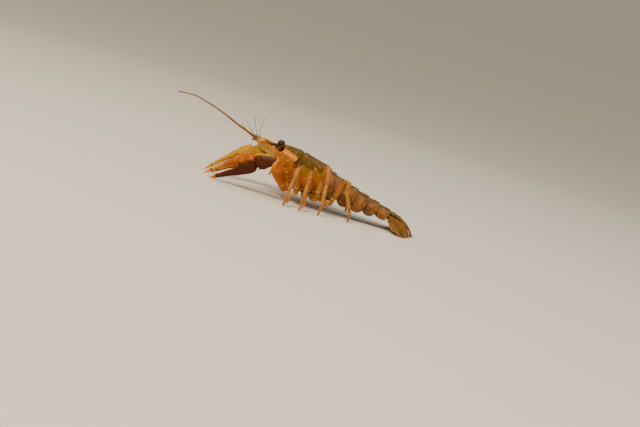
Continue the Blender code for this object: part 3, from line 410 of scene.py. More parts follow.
def rough(s, size, height, seed=0):
    """Gentle unevenness with lumps of the given size."""
    offset = Vector((seed * 7.3, seed * 3.1, 0))
    return push(s, height * np.array([noise.noise(Vector(p) / size + offset) for p in s["points"]]))


def shell_lump(point):
    """Height of the carapace's gentle unevenness at a point."""
    return sum(height * noise.noise(point / size) for height, size in SHELL_LUMPS)


def grains(s, count, radius, height, where):
    """Round knobs, or pits if height is negative, spread over a part of a skin."""
    points = s["points"]
    allowed = np.flatnonzero(where)
    spots = points[[allowed[draw.randrange(len(allowed))] for _ in range(count)]]
    lift = np.zeros(len(points))
    for spot in spots:
        near = np.sum((points - spot) ** 2, axis=1) / radius**2
        inside = near < 1
        lift[inside] = np.maximum(lift[inside], (1 - near[inside]) ** 2)
    push(s, lift * height)
    s["masks"]["grain"] = lift
    return s


def join(skins):
    """Several skins as one."""
    points, faces, start = [], {}, 0
    names = sorted({name for s in skins for name in s["masks"]})
    for s in skins:
        points.append(s["points"])
        for group in s["faces"]:
            faces.setdefault(group.shape[1], []).append(group + start)
        start += len(s["points"])
    masks = {n: np.concatenate([s["masks"].get(n, np.zeros(len(s["points"]))) for s in skins]) for n in names}
    return {"points": np.vstack(points), "faces": [np.vstack(f) for f in faces.values()], "masks": masks}


def scratch_object(s):
    """A mesh object of a skin, linked to the scene."""
    mesh = bpy.data.meshes.new("skin")
    polygons = [face for group in s["faces"] for face in group.tolist()]
    mesh.from_pydata(s["points"].tolist(), [], polygons)
    obj = bpy.data.objects.new("skin", mesh)
    bpy.context.scene.collection.objects.link(obj)
    return obj


def fuse(skins, voxel, smoothing):
    """Overlapping skins melted into one closed skin with soft roots."""
    obj = scratch_object(join(skins))
    remesh = obj.modifiers.new("remesh", "REMESH")
    remesh.mode = "VOXEL"
    remesh.voxel_size = voxel
    smooth = obj.modifiers.new("smooth", "SMOOTH")
    smooth.factor = 0.5
    smooth.iterations = smoothing
    mesh = obj.evaluated_get(bpy.context.evaluated_depsgraph_get()).to_mesh()
    points = np.empty(len(mesh.vertices) * 3)
    mesh.vertices.foreach_get("co", points)
    corners = np.empty(len(mesh.polygons) * 4, int)
    mesh.polygons.foreach_get("vertices", corners)
    bpy.data.objects.remove(obj)
    return skin(points.reshape(-1, 3), [corners.reshape(-1, 4)])


def piece(name, skins, material, node=True):
    """One visible object from skins. It rides on the body and stands for the CAD node of its name."""
    s = join(skins)
    s["points"] = s["points"] * MM + SHIFT
    obj = scratch_object(s)
    obj.name = f"fine_{name}" if node else name
    mesh = obj.data
    mesh.name = obj.name
    mesh.materials.append(material)
    for mask, values in s["masks"].items():
        layer = mesh.attributes.new(mask, "FLOAT", "POINT")
        layer.data.foreach_set("value", values.astype(np.float32))
    mesh.shade_smooth()
    mesh.set_sharp_from_angle(angle=math.radians(55))
    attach(obj, "root")
    if node:
        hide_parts(name)
    return obj


# Tubes, spines and hairs

def path_frames(path, hint, first=None, last=None, reach=1.0):
    """Side and up vectors along a path, free of twist.

    Within reach of the path's ends they turn to face first and last.
    """
    run = run_of(path)
    frames, end = [], len(path) - 1
    for i in range(end + 1):
        along = unit(path[min(i + 1, end)] - path[max(i - 1, 0)])
        for face, gone in ((first, run[i]), (last, run[-1] - run[i])):
            if face is not None:
                along = lerp(along, unit(face), max(0.0, 1 - gone / reach))
        side = unit(np.cross(along, hint))
        hint = unit(np.cross(side, along))
        frames.append((side, hint))
    return frames


# A tube's ends turn within END_TURN radii. Its round ends have rings of a share of the radius and a height.
END_TURN = 1.3
CAP_ROWS = ((0.8, 0.6), (0.45, 0.92))


def tube(
    path, side_radii, up_radii, count, hint=UP, first=None, last=None, round_ends=0.6, shape=None, **masks,
):
    """A round-ended tube. shape scales the radius by row and angle."""
    frames = path_frames(path, hint, first, last, END_TURN * max(up_radii))
    angles = 2 * np.pi * np.arange(count) / count
    rings = []
    for i, (side, up) in enumerate(frames):
        scale = 1.0 if shape is None else shape(i, angles)
        ring = np.outer(np.cos(angles) * scale * side_radii[i], side)
        rings.append(path[i] + ring + np.outer(np.sin(angles) * scale * up_radii[i], up))
    for end, turn in ((0, 1), (-1, -1)):
        if round_ends:
            side, up = frames[end]
            beyond = np.cross(side, up) * turn * min(side_radii[end], up_radii[end]) * round_ends
            outer = [path[end] + (rings[end] - path[end]) * s + beyond * h for s, h in CAP_ROWS]
            rings = outer[::-1] + rings if end == 0 else rings + outer
    s = loft(rings)
    extra = 2 if round_ends else 0
    for name, values in masks.items():
        values = np.asarray(values, float)
        rows = np.concatenate([[values[0]] * extra, values, [values[-1]] * extra])
        s["masks"][name] = np.append(np.repeat(rows, count), [values[0], values[-1]])
    s["frames"] = frames
    return s


def spine(root, direction, length, radius, sink=0.5, count=10, bend=(0, 0, 0), **masks):
    """A slim thorn with a flared foot that is sunk into its surface."""
    direction = unit(np.asarray(direction, float))
    hint = UP if abs(direction[2]) < 0.9 else BACK
    stations = (
        (-sink, 1.35), (0.0, 1.12), (0.12 * length, 0.88), (0.35 * length, 0.6), (0.7 * length, 0.28),
        (length, 0.05),
    )
    path = np.array([root + direction * h + vec(*bend) * max(0, h / length) ** 2 for h, _ in stations])
    radii = [radius * r for _, r in stations]
    tip = [0, 0.1, 0.3, 0.6, 0.9, 1]
    painted = {name: [value] * len(path) for name, value in masks.items()}
    return tube(path, radii, radii, count, hint, round_ends=0, thorn=tip, **painted)


def hair(root, direction, length, radius=0.045):
    """A single bristle with three sides."""
    direction = unit(direction)
    hint = UP if abs(direction[2]) < 0.9 else BACK
    path = np.array([root + direction * length * t for t in (-0.1, 0.5, 1.0)])
    radii = [radius, radius * 0.7, radius * 0.15]
    return tube(path, radii, radii, 3, hint, round_ends=0)


def hair_piece(name, hairs):
    """Bristles as one piece, with each one's paint kept together on the map."""
    obj = piece(name, hairs, BRISTLE, node=False)
    layer = obj.data.uv_layers.new(name="OFBake")
    vertex = np.empty(len(obj.data.loops), int)
    obj.data.loops.foreach_get("vertex_index", vertex)
    points = np.empty(len(obj.data.vertices) * 3)
    obj.data.vertices.foreach_get("co", points)
    points = points.reshape(-1, 3)
    size = len(points) // len(hairs)
    owner = vertex // size
    low, high = points.min(0), points.max(0)
    place = (points[::size] - low) / (high - low)
    uv = place[owner][:, [0, 1]] * 0.99 + 0.003 * ((vertex % size)[:, None] / size) * vec(1, 1)
    layer.data.foreach_set("uv", uv.astype(np.float32).reshape(-1))
    return obj


# Finishes

def srgb(red, green, blue):
    """Linear colour of a screen colour from 0 to 255."""
    return tuple(((c / 255 + 0.055) / 1.055) ** 2.4 for c in (red, green, blue)) + (1.0,)


def feed(tree, sockets, values):
    """Links or sets each socket, by what its value is."""
    for socket, value in zip(sockets, values):
        if isinstance(value, bpy.types.NodeSocket):
            tree.links.new(value, socket)
        else:
            socket.default_value = value


def mix_node(tree, factor, under, over):
    node = tree.nodes.new("ShaderNodeMix")
    node.data_type = "RGBA"
    feed(tree, (node.inputs[0], node.inputs[6], node.inputs[7]), (factor, under, over))
    return node.outputs[2]


def step_node(tree, value, low, high):
    node = tree.nodes.new("ShaderNodeMapRange")
    node.interpolation_type = "SMOOTHSTEP"
    tree.links.new(value, node.inputs["Value"])
    node.inputs["From Min"].default_value = low
    node.inputs["From Max"].default_value = high
    return node.outputs["Result"]


def math_node(tree, operation, *values):
    node = tree.nodes.new("ShaderNodeMath")
    node.operation = operation
    feed(tree, node.inputs, values)
    return node.outputs[0]


def texture_node(tree, kind, size):
    """A texture in the object's own space, with forms of a size in millimetres."""
    place = tree.nodes.new("ShaderNodeTexCoord")
    node = tree.nodes.new(kind)
    tree.links.new(place.outputs["Object"], node.inputs["Vector"])
    node.inputs["Scale"].default_value = 1 / (size * MM)
    return node


def noise_node(tree, size, detail=3.0, distortion=0.0):
    """Noise with lumps of a size in millimetres."""
    node = texture_node(tree, "ShaderNodeTexNoise", size)
    node.inputs["Detail"].default_value = detail
    node.inputs["Distortion"].default_value = distortion
    return node.outputs["Fac"]


def cell_node(tree, size):
    """Distance to scattered points that lie a size in millimetres apart."""
    node = texture_node(tree, "ShaderNodeTexVoronoi", size)
    return node.outputs["Distance"]


def scaled(colour, factor):
    return tuple(min(1.0, c * factor) for c in colour[:3]) + (1.0,)


def finish_of(name, base, marks=(), spots=(), pits=0.7, roughness=0.42, coat=0.04, soft=0.06, relief=0.055):
    """A shell finish.

    marks are (mask, colour, edge noise size, low, high) and spots are (colour, size, low, high). Each is laid
    over the one before it.
    """
    material = bpy.data.materials.new(name)
    material.use_nodes = True
    tree = material.node_tree
    shader = tree.nodes["Principled BSDF"]
    cloud = step_node(tree, noise_node(tree, 5.0, 4.0, 0.4), 0.32, 0.68)
    colour = mix_node(tree, cloud, scaled(base, 0.62), scaled(base, 1.1))
    for mask, tint, size, low, high in marks:
        reader = tree.nodes.new("ShaderNodeAttribute")
        reader.attribute_name = mask
        ragged = math_node(tree, "SUBTRACT", noise_node(tree, size, 4.0, 0.3), 0.5)
        edge = math_node(tree, "MULTIPLY_ADD", ragged, 1.1, reader.outputs["Fac"])
        shaded = mix_node(tree, noise_node(tree, size * 1.7, 4.0), scaled(tint, 0.6), scaled(tint, 1.3))
        colour = mix_node(tree, step_node(tree, edge, low, high), colour, shaded)
    for tint, size, low, high in spots:
        patch = step_node(tree, noise_node(tree, size, 5.0, 0.8), low, high)
        colour = mix_node(tree, math_node(tree, "MULTIPLY", patch, 0.8), colour, tint)
    freckle = step_node(tree, noise_node(tree, 0.9, 4.0, 0.5), 0.5, 0.72)
    speck = step_node(tree, noise_node(tree, 0.3, 2.0), 0.4, 0.75)
    # A dark copy of the base, for freckles and specks of the shell's own colour, and for painted shade in the
    # pits.
    under = scaled(base, 0.42)
    colour = mix_node(tree, math_node(tree, "MULTIPLY", freckle, 0.38), colour, under)
    colour = mix_node(tree, math_node(tree, "MULTIPLY", speck, 0.25), colour, under)
    # The pits are pressed in by the bump and also dark in colour: painted shade in the pits.
    pit = step_node(tree, cell_node(tree, pits), 0.03, 0.24)
    colour = mix_node(tree, math_node(tree, "MULTIPLY_ADD", pit, 0.5, 0.5), under, colour)
    tree.links.new(colour, shader.inputs["Base Color"])
    rough_map = tree.nodes.new("ShaderNodeMapRange")
    tree.links.new(noise_node(tree, 1.6, 3.0), rough_map.inputs["Value"])
    rough_map.inputs["To Min"].default_value = roughness - 0.1
    rough_map.inputs["To Max"].default_value = roughness + 0.16
    tree.links.new(rough_map.outputs["Result"], shader.inputs["Roughness"])
    height = math_node(tree, "MULTIPLY_ADD", noise_node(tree, 0.28, 3.0), 0.5, pit)
    bump = tree.nodes.new("ShaderNodeBump")
    bump.inputs["Strength"].default_value = 0.6
    bump.inputs["Distance"].default_value = relief * MM
    tree.links.new(height, bump.inputs["Height"])
    tree.links.new(bump.outputs["Normal"], shader.inputs["Normal"])
    shader.inputs["Specular IOR Level"].default_value = 0.09
    shader.inputs["Coat Weight"].default_value = coat
    shader.inputs["Coat Roughness"].default_value = 0.3
    shader.inputs["Subsurface Weight"].default_value = soft
    shader.inputs["Subsurface Scale"].default_value = 0.9 * MM
    shader.inputs["Subsurface Radius"].default_value = (1.0, 0.45, 0.2)
    return material


OLIVE = srgb(82, 66, 6)
BROWN = srgb(190, 110, 36)
DARK_BROWN = srgb(60, 34, 16)
MAROON = srgb(92, 36, 20)
PALE = srgb(242, 176, 44)
GOLD = srgb(222, 150, 0)
OLIVE_GOLD = srgb(148, 104, 22)
ORANGE = srgb(194, 98, 22)
TAN = srgb(182, 120, 54)
CREAM = srgb(230, 180, 96)
PURPLE_BROWN = srgb(60, 27, 16)
YELLOW_GREEN = srgb(202, 156, 36)
TIP_ORANGE = srgb(226, 116, 30)
THORN = ("thorn", PALE, 0.6, 0.35, 0.9)

# The shell's gold stripe mark is partly its own pale stripe and partly a painted highlight along the lit
# shoulder.
SHELL = finish_of(
    "shell", BROWN,
    (("inside", CREAM, 2.0, 0.4, 0.6), ("flank", OLIVE_GOLD, 2.6, 0.3, 0.8), ("crest", OLIVE, 3.0, 0.3, 0.75),
     ("mottle", DARK_BROWN, 1.1, 0.55, 0.9),
     ("streak", GOLD, 1.6, 0.4, 0.9), ("rim", CREAM, 1.0, 0.6, 1.0), THORN),
    spots=((srgb(222, 146, 66), 2.1, 0.56, 0.78), (srgb(112, 62, 26), 1.5, 0.54, 0.72),
           (DARK_BROWN, 2.4, 0.6, 0.74)),
)
ABDOMEN = finish_of(
    "abdomen_shell", srgb(124, 80, 40),
    (("belly", CREAM, 2.0, 0.35, 0.65), ("crest", OLIVE, 2.4, 0.2, 0.8),
     ("patch", srgb(176, 106, 56), 1.9, 0.45, 1.35), ("band", MAROON, 1.6, 0.5, 0.95),
     ("rim", srgb(196, 146, 76), 1.0, 0.6, 1.0)),
    spots=((srgb(150, 118, 56), 2.7, 0.53, 0.68), (srgb(190, 124, 80), 1.9, 0.58, 0.74),
           (DARK_BROWN, 1.6, 0.6, 0.76)),
)
TAIL = finish_of(
    "tail_shell", srgb(124, 84, 26),
    (("crest", srgb(80, 66, 22), 3.0, 0.35, 0.9), ("band", MAROON, 1.5, 0.55, 1.0),
     ("rim", CREAM, 0.8, 0.5, 1.1)),
    spots=((DARK_BROWN, 1.4, 0.62, 0.8),), soft=0.12,
)
# The claw's purple-brown under mark is partly its own colour and partly painted shade: on the lower halves
# and most on the near claw, shaded by the light above and by the far claw.
CLAW = finish_of(
    "claw_shell", ORANGE,
    (("inner", YELLOW_GREEN, 2.4, 0.35, 0.85), ("under", PURPLE_BROWN, 2.2, 0.3, 0.85),
     ("horn", srgb(212, 152, 58), 1.6, 0.3, 1.2), ("band", DARK_BROWN, 1.0, 0.45, 1.1),
     ("tip", TIP_ORANGE, 0.8, 0.4, 0.8), ("point", PALE, 0.8, 0.5, 0.9), ("grain", CREAM, 0.6, 0.6, 1.3),
     THORN),
    spots=((DARK_BROWN, 1.7, 0.6, 0.78),), relief=0.07,
)
# On the arm, the gold rim mark is a painted highlight on its far end, and the purple-brown under mark is
# partly its own colour and partly painted shade on its lower side.
ARM = finish_of(
    "arm_shell", srgb(188, 100, 34),
    (("inner", YELLOW_GREEN, 2.4, 0.4, 0.9), ("under", PURPLE_BROWN, 1.8, 0.45, 0.95),
     ("rim", GOLD, 1.2, 0.35, 0.9), ("joint", CREAM, 1.0, 0.4, 0.9), THORN),
    spots=((srgb(120, 62, 28), 2.2, 0.58, 0.76),), relief=0.07,
)
LEG = finish_of(
    "leg_shell", TAN,
    (("crest", srgb(160, 102, 46), 2.4, 0.4, 0.9), ("joint", CREAM, 0.8, 0.35, 0.9),
     ("tip", srgb(140, 66, 26), 0.8, 0.4, 0.9)),
    spots=((srgb(146, 82, 36), 1.8, 0.54, 0.76),), soft=0.14, pits=0.9,
)
# The pale finish's gold mark lifts the antenna bases: partly their own gold colour, partly a painted
# highlight that brightens them where the beak shades them.
UNDERSIDE = finish_of(
    "pale_shell", srgb(206, 146, 70),
    (("joint", CREAM, 1.0, 0.4, 0.9), ("crest", BROWN, 2.0, 0.3, 0.8),
     ("shade", srgb(96, 52, 26), 2.0, 0.3, 0.9), ("golden", srgb(254, 190, 84), 1.8, 0.15, 0.7)),
    spots=((srgb(150, 88, 42), 2.0, 0.56, 0.8),), soft=0.1, roughness=0.5, pits=1.0,
)
FEELER = finish_of(
    "feeler", srgb(140, 104, 56),
    (("ring", srgb(76, 50, 28), 0.5, 0.45, 0.95),), roughness=0.46, pits=0.5,
)
PALE_FEELER = finish_of(
    "antennule", srgb(176, 158, 124),
    (("ring", srgb(124, 100, 70), 0.5, 0.45, 1.0),), roughness=0.46, pits=0.5,
)
BRISTLE = finish_of("bristle", srgb(168, 124, 70), roughness=0.5, coat=0.0, soft=0.15, pits=0.8)


def eye_finish():
    """Glossy dark cornea with fine facets, inside a pale speckled rim."""
    material = finish_of("eye", srgb(150, 104, 54), (("cornea", srgb(14, 11, 10), 0.9, 0.47, 0.56),),
                         roughness=0.2, coat=0.6, pits=0.5)
    tree = material.node_tree
    bump = next(n for n in tree.nodes if n.bl_idname == "ShaderNodeBump")
    tree.links.new(cell_node(tree, 0.15), bump.inputs["Height"])
    bump.inputs["Distance"].default_value = 0.03 * MM
    return material


EYE = eye_finish()


# Carapace, rostrum and eyes

def margin_at(margin, t):
    return row_at(list(zip(MARGIN_STOPS, margin)), t)[0]


def carapace_point(row, t):
    """A bare point of the shell. row runs from front to rear, t from -1 on the left to 1."""
    reach = abs(t)
    front, groove, rear = (margin_at(m, reach) for m in (FRONT_MARGIN, GROOVE_LINE, REAR_MARGIN))
    x = lerp(front, groove, row / GROOVE_AT) if row < GROOVE_AT else lerp(
        groove, rear, (row - GROOVE_AT) / (1 - GROOVE_AT))
    top, half, widest, lower = row_at(CARAPACE, x)
    if reach < ARCH_SHARE:
        angle = reach / ARCH_SHARE * math.pi / 2
        y = half * math.sin(angle) ** ARCH_POWER
        z = widest + (top - widest) * max(0.0, math.cos(angle)) ** ARCH_POWER
    else:
        drop = (reach - ARCH_SHARE) / (1 - ARCH_SHARE)
        y = half * (1 - WALL_TUCK * drop**2)
        z = lerp(widest, lower, drop)
    return vec(x, math.copysign(y, t), z)


def carapace_relief(row, t, points):
    """Height of the grooves, rims and ridges, and the paint masks, over the shell's grid."""
    reach, y = abs(t), abs(points[..., 1])
    height = -0.62 * hill(row, GROOVE_AT, 0.026) * np.minimum(1, 1.35 - reach)
    height += 0.16 * hill(row, GROOVE_AT - 0.055, 0.03) + 0.12 * hill(row, GROOVE_AT + 0.05, 0.03)
    strip = 1.35 + 1.7 * ((row - 0.74) / 0.28) ** 2
    height -= 0.2 * hill(y, strip, 0.3) * ramp(row, 0.47, 0.52) * (reach < ARCH_SHARE)
    height += 0.1 * (y < strip) * ramp(row, 0.5, 0.56)
    height -= 0.26 * hill(row, 0.962, 0.011) + 0.28 * hill(reach, 0.955, 0.012) * ramp(row, 0.02, 0.1)
    ridge = 2.9 + row * 6.0
    height += 0.4 * hill(y, ridge, 0.4) * (1 - ramp(row, 0.1, 0.22)) * (reach < ARCH_SHARE)
    height -= 0.25 * hill(y, ridge + 0.8, 0.35) * (1 - ramp(row, 0.08, 0.2)) * (reach < ARCH_SHARE)
    side_groove = 0.62 + 0.10 * np.sin(np.pi * ramp(row, 0.05, GROOVE_AT))
    height -= 0.22 * hill(reach, side_groove, 0.018) * ramp(row, 0.2, 0.3) * (1 - ramp(row, 0.4, 0.45))
    lens = 0.30 + 0.21 * ramp(row, 0.1, 0.55) - 0.05 * ramp(row, 0.8, 1.0)
    front = 1 - ramp(row, 0.0, 0.18)
    mottle = hill(row, 0.47, 0.13) * hill(reach, 0.5, 0.2)
    # A gold stripe from under the eye back to the groove, with patches over the lower front flank: partly the
    # shell's own pale stripe, partly a painted highlight where the top light catches the shoulder.
    streak = 1.2 * hill(reach, 0.37 + 0.12 * row, 0.065 + 0.09 * front) + 0.22 * (reach > 0.4)
    masks = {
        "crest": 0.5 + (lens - reach) * 3.0,
        "flank": (0.5 + (lens + 0.13 - reach) * 3.0) * ramp(row, 0.42, 0.52),
        "mottle": mottle + 0.5 * hill(row, 0.3, 0.1) * hill(reach, 0.4, 0.1),
        "streak": streak * (1 - ramp(row, 0.32, 0.5)),
        "rim": np.maximum(hill(row, 1.0, 0.012), hill(reach, 1.0, 0.02)) * 0.9,
        "inside": np.zeros_like(height),
    }
    return height, masks


def small_spines(side, taken):
    """Small thorns scattered over the cheek between the large ones, and a row behind the groove."""
    found = []
    while len(found) < SMALL_SPINES:
        row, t = draw.uniform(0.06, 0.43), draw.uniform(0.5, 0.93)
        root = carapace_point(row, side * t)
        if min(np.linalg.norm(root - other) for other in taken) > SMALL_SPINE_SPACING:
            taken.append(root)
            found.append((row, t, draw.uniform(0.3, 0.65), draw.uniform(0.2, 0.3)))
    for k in range(GROOVE_SPINES):
        found.append((0.5 + 0.012 * (k % 2), 0.5 + 0.055 * k, 0.35, 0.22))
    return found


def shell_spines(side):
    """All thorns of one side of the carapace."""
    taken = [carapace_point(row, side * t) for row, t, _, _ in CHEEK_SPINES]
    spines = []
    for row, t, length, radius in [*CHEEK_SPINES, *small_spines(side, taken)]:
        root = carapace_point(row, side * t)
        behind, below = carapace_point(row + 0.02, side * t), carapace_point(row, side * (t + 0.03))
        normal = unit(np.cross(behind - root, below - root))
        normal = normal if normal[1] * side > 0 else -normal
        way = unit(normal - BACK * CHEEK_SPINE_LEAN)
        spines.append(spine(root, way, length, radius, 0.4, bend=(-0.25 * length, 0, 0)))
    row, t, length, radius = RIDGE_SPINE
    root = carapace_point(row, side * t) + vec(0.4, 0, 0.1)
    spines.append(spine(root, (-1, side * 0.15, 0.25), length, radius, 1.6, 14, crest=1))
    return spines


def carapace():
    """The shield over head and thorax: outer skin, inner skin and the rounded edge between."""
    rows, cols = SHELL_GRID
    row = np.linspace(0, 1, rows)[:, None] * np.ones((1, cols))
    t = np.linspace(-1, 1, cols)[None, :] * np.ones((rows, 1))
    outer = np.array([[carapace_point(a, b) for a, b in zip(r, c)] for r, c in zip(row, t)])
    normal = np.cross(np.gradient(outer, axis=1), np.gradient(outer, axis=0))
    normal /= np.linalg.norm(normal, axis=2, keepdims=True)
    if normal[rows // 2, cols // 2, 2] < 0:
        normal = -normal
    height, masks = carapace_relief(row, t, outer)
    lumps = [[shell_lump(Vector(p)) for p in r] for r in outer]
    edge = np.minimum(np.minimum(row, 1 - row) * 26, (1 - abs(t)) * 20)
    thickness = SHELL_THICKNESS * np.clip(np.sqrt(np.clip(edge, 0, 1)), 0.3, 1)
    outer = outer + normal * (height + np.array(lumps))[..., None]
    inner = outer - normal * thickness[..., None]
    for sheet, extra in ((outer, 0.0), (inner, 0.08)):
        for eye in EYES.values():
            away = sheet - vec(*eye)
            distance = np.linalg.norm(away, axis=2, keepdims=True)
            radius = ORBIT_RADIUS + extra
            sheet += np.where(distance < radius, away / distance * (radius - distance), 0)
    index = np.arange(rows * cols).reshape(rows, cols)
    top = np.stack([index[:-1, :-1], index[:-1, 1:], index[1:, 1:], index[1:, :-1]], axis=-1).reshape(-1, 4)
    border = np.concatenate([index[0, :-1], index[:-1, -1], index[-1, :0:-1], index[:0:-1, 0]])
    after = np.roll(border, -1)
    rim = np.stack([border, border + rows * cols, after + rows * cols, after], axis=-1)
    points = np.vstack([outer.reshape(-1, 3), inner.reshape(-1, 3)])
    paint = {name: np.tile(m.reshape(-1), 2) for name, m in masks.items()}
    paint["inside"][rows * cols:] = 1
    shield = skin(points, [np.vstack([top, top[:, ::-1] + rows * cols, rim])], **paint)
    piece("carapace", [shield, rostrum(), *shell_spines(LEFT), *shell_spines(RIGHT)], SHELL)


def rostrum():
    """The beak between the eyes: hollowed top, raised rims, two side thorns and a sharp tip."""
    rings, start, end = [], ROSTRUM[0][0] + 2.2, ROSTRUM[-1][0]
    for x in np.linspace(start, end, 80):
        top, half = row_at(ROSTRUM, x)
        sink = 0.5 * ramp(x, ROSTRUM[0][0] - 1.5, start)
        depth = ROSTRUM_DEPTH * min(1.0, 0.45 + (x - end) / 12)
        rim = ROSTRUM_RIM * min(1.0, half / 2)
        across = np.linspace(-1, 1, 17)
        dish = rim * 1.25 * (1 - np.abs(across / 0.82) ** 2.2)
        lip = top - dish - rim * 0.9 * ramp(np.abs(across), 0.82, 1) - sink
        ring = [vec(x, half * a, z) for a, z in zip(across, lip)]
        for a in (0.85, 0.5, 0, -0.5, -0.85):
            ring.append(vec(x, half * a, top - depth * (1 - 0.25 * abs(a)) - sink))
        rings.append(resample_ring(ring, 44, 2))
    beak = loft(rings)
    beak["masks"]["crest"] = np.ones(len(beak["points"]))
    x, offset, height, length, radius = ROSTRAL_SPINE
    thorns = [spine(vec(x, s * offset, height), (-1, s * 0.25, 0.1), length, radius, 1.6, 14, crest=1)
              for s in (LEFT, RIGHT)]
    return join([rough(beak, 1.2, 0.05), *thorns])


def eyes():
    """Each eye: a dark faceted ball with a pale rim, on a stalk that widens towards it."""
    for side, word in SIDES:
        centre, root = vec(*EYES[side]), mirrored(EYE_STALK_ROOT, side)
        gaze = unit(mirrored(EYE_GAZE, side))
        across = unit(np.cross(gaze, UP))
        up = np.cross(across, gaze)
        rings = []
        turn = 2 * np.pi * np.arange(48) / 48
        for polar in np.linspace(0.03, math.pi - 0.03, 40):
            ring = np.outer(np.cos(turn), across) + np.outer(np.sin(turn), up)
            rings.append(centre + EYE_RADIUS * (ring * math.sin(polar) + gaze * math.cos(polar)))
        ball = loft(rings)
        facing = (ball["points"] - centre) @ gaze / EYE_RADIUS
        ball["masks"]["cornea"] = 0.5 + (facing + 0.02) * 0.6
        push(ball, -0.07 * hill(facing, -0.02, 0.07))
        share = np.linspace(0, 1, 14)
        path = root + (centre - gaze * 0.6 - root) * share[:, None]
        radii = 0.8 + 0.2 * share + 0.45 * ramp(share, 0.4, 1.0) - 0.12 * hill(share, 0.35, 0.12)
        stalk = tube(path, radii, radii, 28, BACK)
        piece(f"eye_{word}", [ball, stalk], EYE)


# Underside of head and thorax

def core_rings(first, last, count):
    rings = []
    for x in np.linspace(first, last, count):
        top, half, bottom = row_at(CORE, x)
        middle, height = (top + bottom) / 2, (top - bottom) / 2
        slant, rise = min(CORE_BEVEL[0], half * 0.4), min(CORE_BEVEL[1], height)
        right = [(half - CORE_CHAMFER, middle + height), (half, middle + height - CORE_CHAMFER),
                 (half, middle - height + rise), (half - slant, middle - height)]
        corners = [vec(x, y, z) for y, z in right] + [vec(x, -y, z) for y, z in right[::-1]]
        rings.append(resample_ring(corners, 72, 5))
    return rings


def neck_skin():
    """The soft skin that closes the carapace's rear opening and folds in under the first plate."""
    rings = []
    for x, inset in smooth_path([(x, inset, 0) for x, inset in NECK_SKIN], 6)[:, :2]:
        top, half, widest, lower = row_at(CARAPACE, x)
        turn = np.linspace(-np.pi / 2, np.pi / 2, 33)
        y = (half - inset) * np.sign(np.sin(turn)) * abs(np.sin(turn)) ** ARCH_POWER
        z = widest + (top - inset - widest) * np.maximum(np.cos(turn), 0) ** ARCH_POWER
        foot = (half - inset) * 0.86
        corners = [vec(x, a, b) for a, b in zip(y, z)]
        corners += [vec(x, foot, lower + inset), vec(x, -foot, lower + inset)]
        rings.append(resample_ring(corners, 120))
    membrane = loft(rings)
    membrane["masks"]["shade"] = np.full(len(membrane["points"]), 0.5)
    return rough(membrane, 0.9, 0.12)


def cores():
    """The head's front and underside, and the thorax floor with its ribs between the leg roots."""
    first, last = CORE[0][0], CORE[-1][0]
    head = loft(core_rings(first, CORE_SPLIT - GAP / 2, 40))
    x, y, z = head["points"].T
    swelling = 0.3 * hill(x, 30.5, 0.9) * hill(abs(y), 1.9, 1.1)
    push(head, swelling - 0.2 * hill(x, 28.4, 0.25) - 0.2 * hill(abs(y), 0.0, 0.2))
    head["masks"]["crest"] = 0.9 * ramp(z, 17.0, 22.0)
    head["masks"]["shade"] = 0.9 * (1 - ramp(z, 14.0, 18.5))
    head["masks"]["joint"] = 0.95 * hill(z, 20.4, 1.5)
    jaws = []
    for side in (LEFT, RIGHT):
        path = smooth_path([mirrored(point, side) for point in JAW], 5)
        jaws.append(tube(path, np.linspace(1.3, 0.8, 11), np.linspace(1.2, 0.7, 11), 20, BACK))
    ridge = smooth_path(BROW, 8)
    brow = tube(ridge, np.linspace(2.5, 1.5, len(ridge)), np.linspace(1.3, 0.85, len(ridge)), 32)
    brow["masks"]["shade"] = np.full(len(brow["points"]), 0.75)
    piece("head_core", [rough(head, 1.5, 0.08), rough(brow, 0.8, 0.06), *jaws], UNDERSIDE)
    thorax = loft(core_rings(CORE_SPLIT + GAP / 2, last, 110))
    x, y, z = thorax["points"].T
    low = ramp(-z, -9.5, -7.0)
    height = -0.35 * hill(abs(y), 0.0, 0.25) * low
    for row in LEGS.values():
        height += low * (0.25 * hill(x, row[0], 0.9) * (abs(y) > 1.5) - 0.35 * hill(x, row[0] + 2.0, 0.3))
    push(thorax, height)
    thorax["masks"]["joint"] = low * sum(hill(x, row[0] + 2.0, 0.5) for row in LEGS.values())
    piece("thorax_core", [rough(thorax, 1.5, 0.08), neck_skin()], UNDERSIDE)


# Abdomen and tail

CREST_PATH = smooth_path([(x, 0, z) for x, z in ABDOMEN_CREST], 8)


def crest_frame(distance):
    """Crest point, backward direction and upward normal at a distance along the abdomen."""
    left = distance
    for k in range(len(CREST_PATH) - 1):
        step = np.linalg.norm(CREST_PATH[k + 1] - CREST_PATH[k])
        if left <= step or k == len(CREST_PATH) - 2:
            break
        left -= step
    a, b = CREST_PATH[k], CREST_PATH[k + 1]
    trend = unit(CREST_PATH[min(len(CREST_PATH) - 1, k + 3)] - CREST_PATH[max(0, k - 2)])
    along = unit(lerp(BACK, trend, min(1.0, max(0.0, distance) / UPRIGHT_RUN)))
    return a + unit(b - a) * left, along, vec(-along[2], 0, along[0])


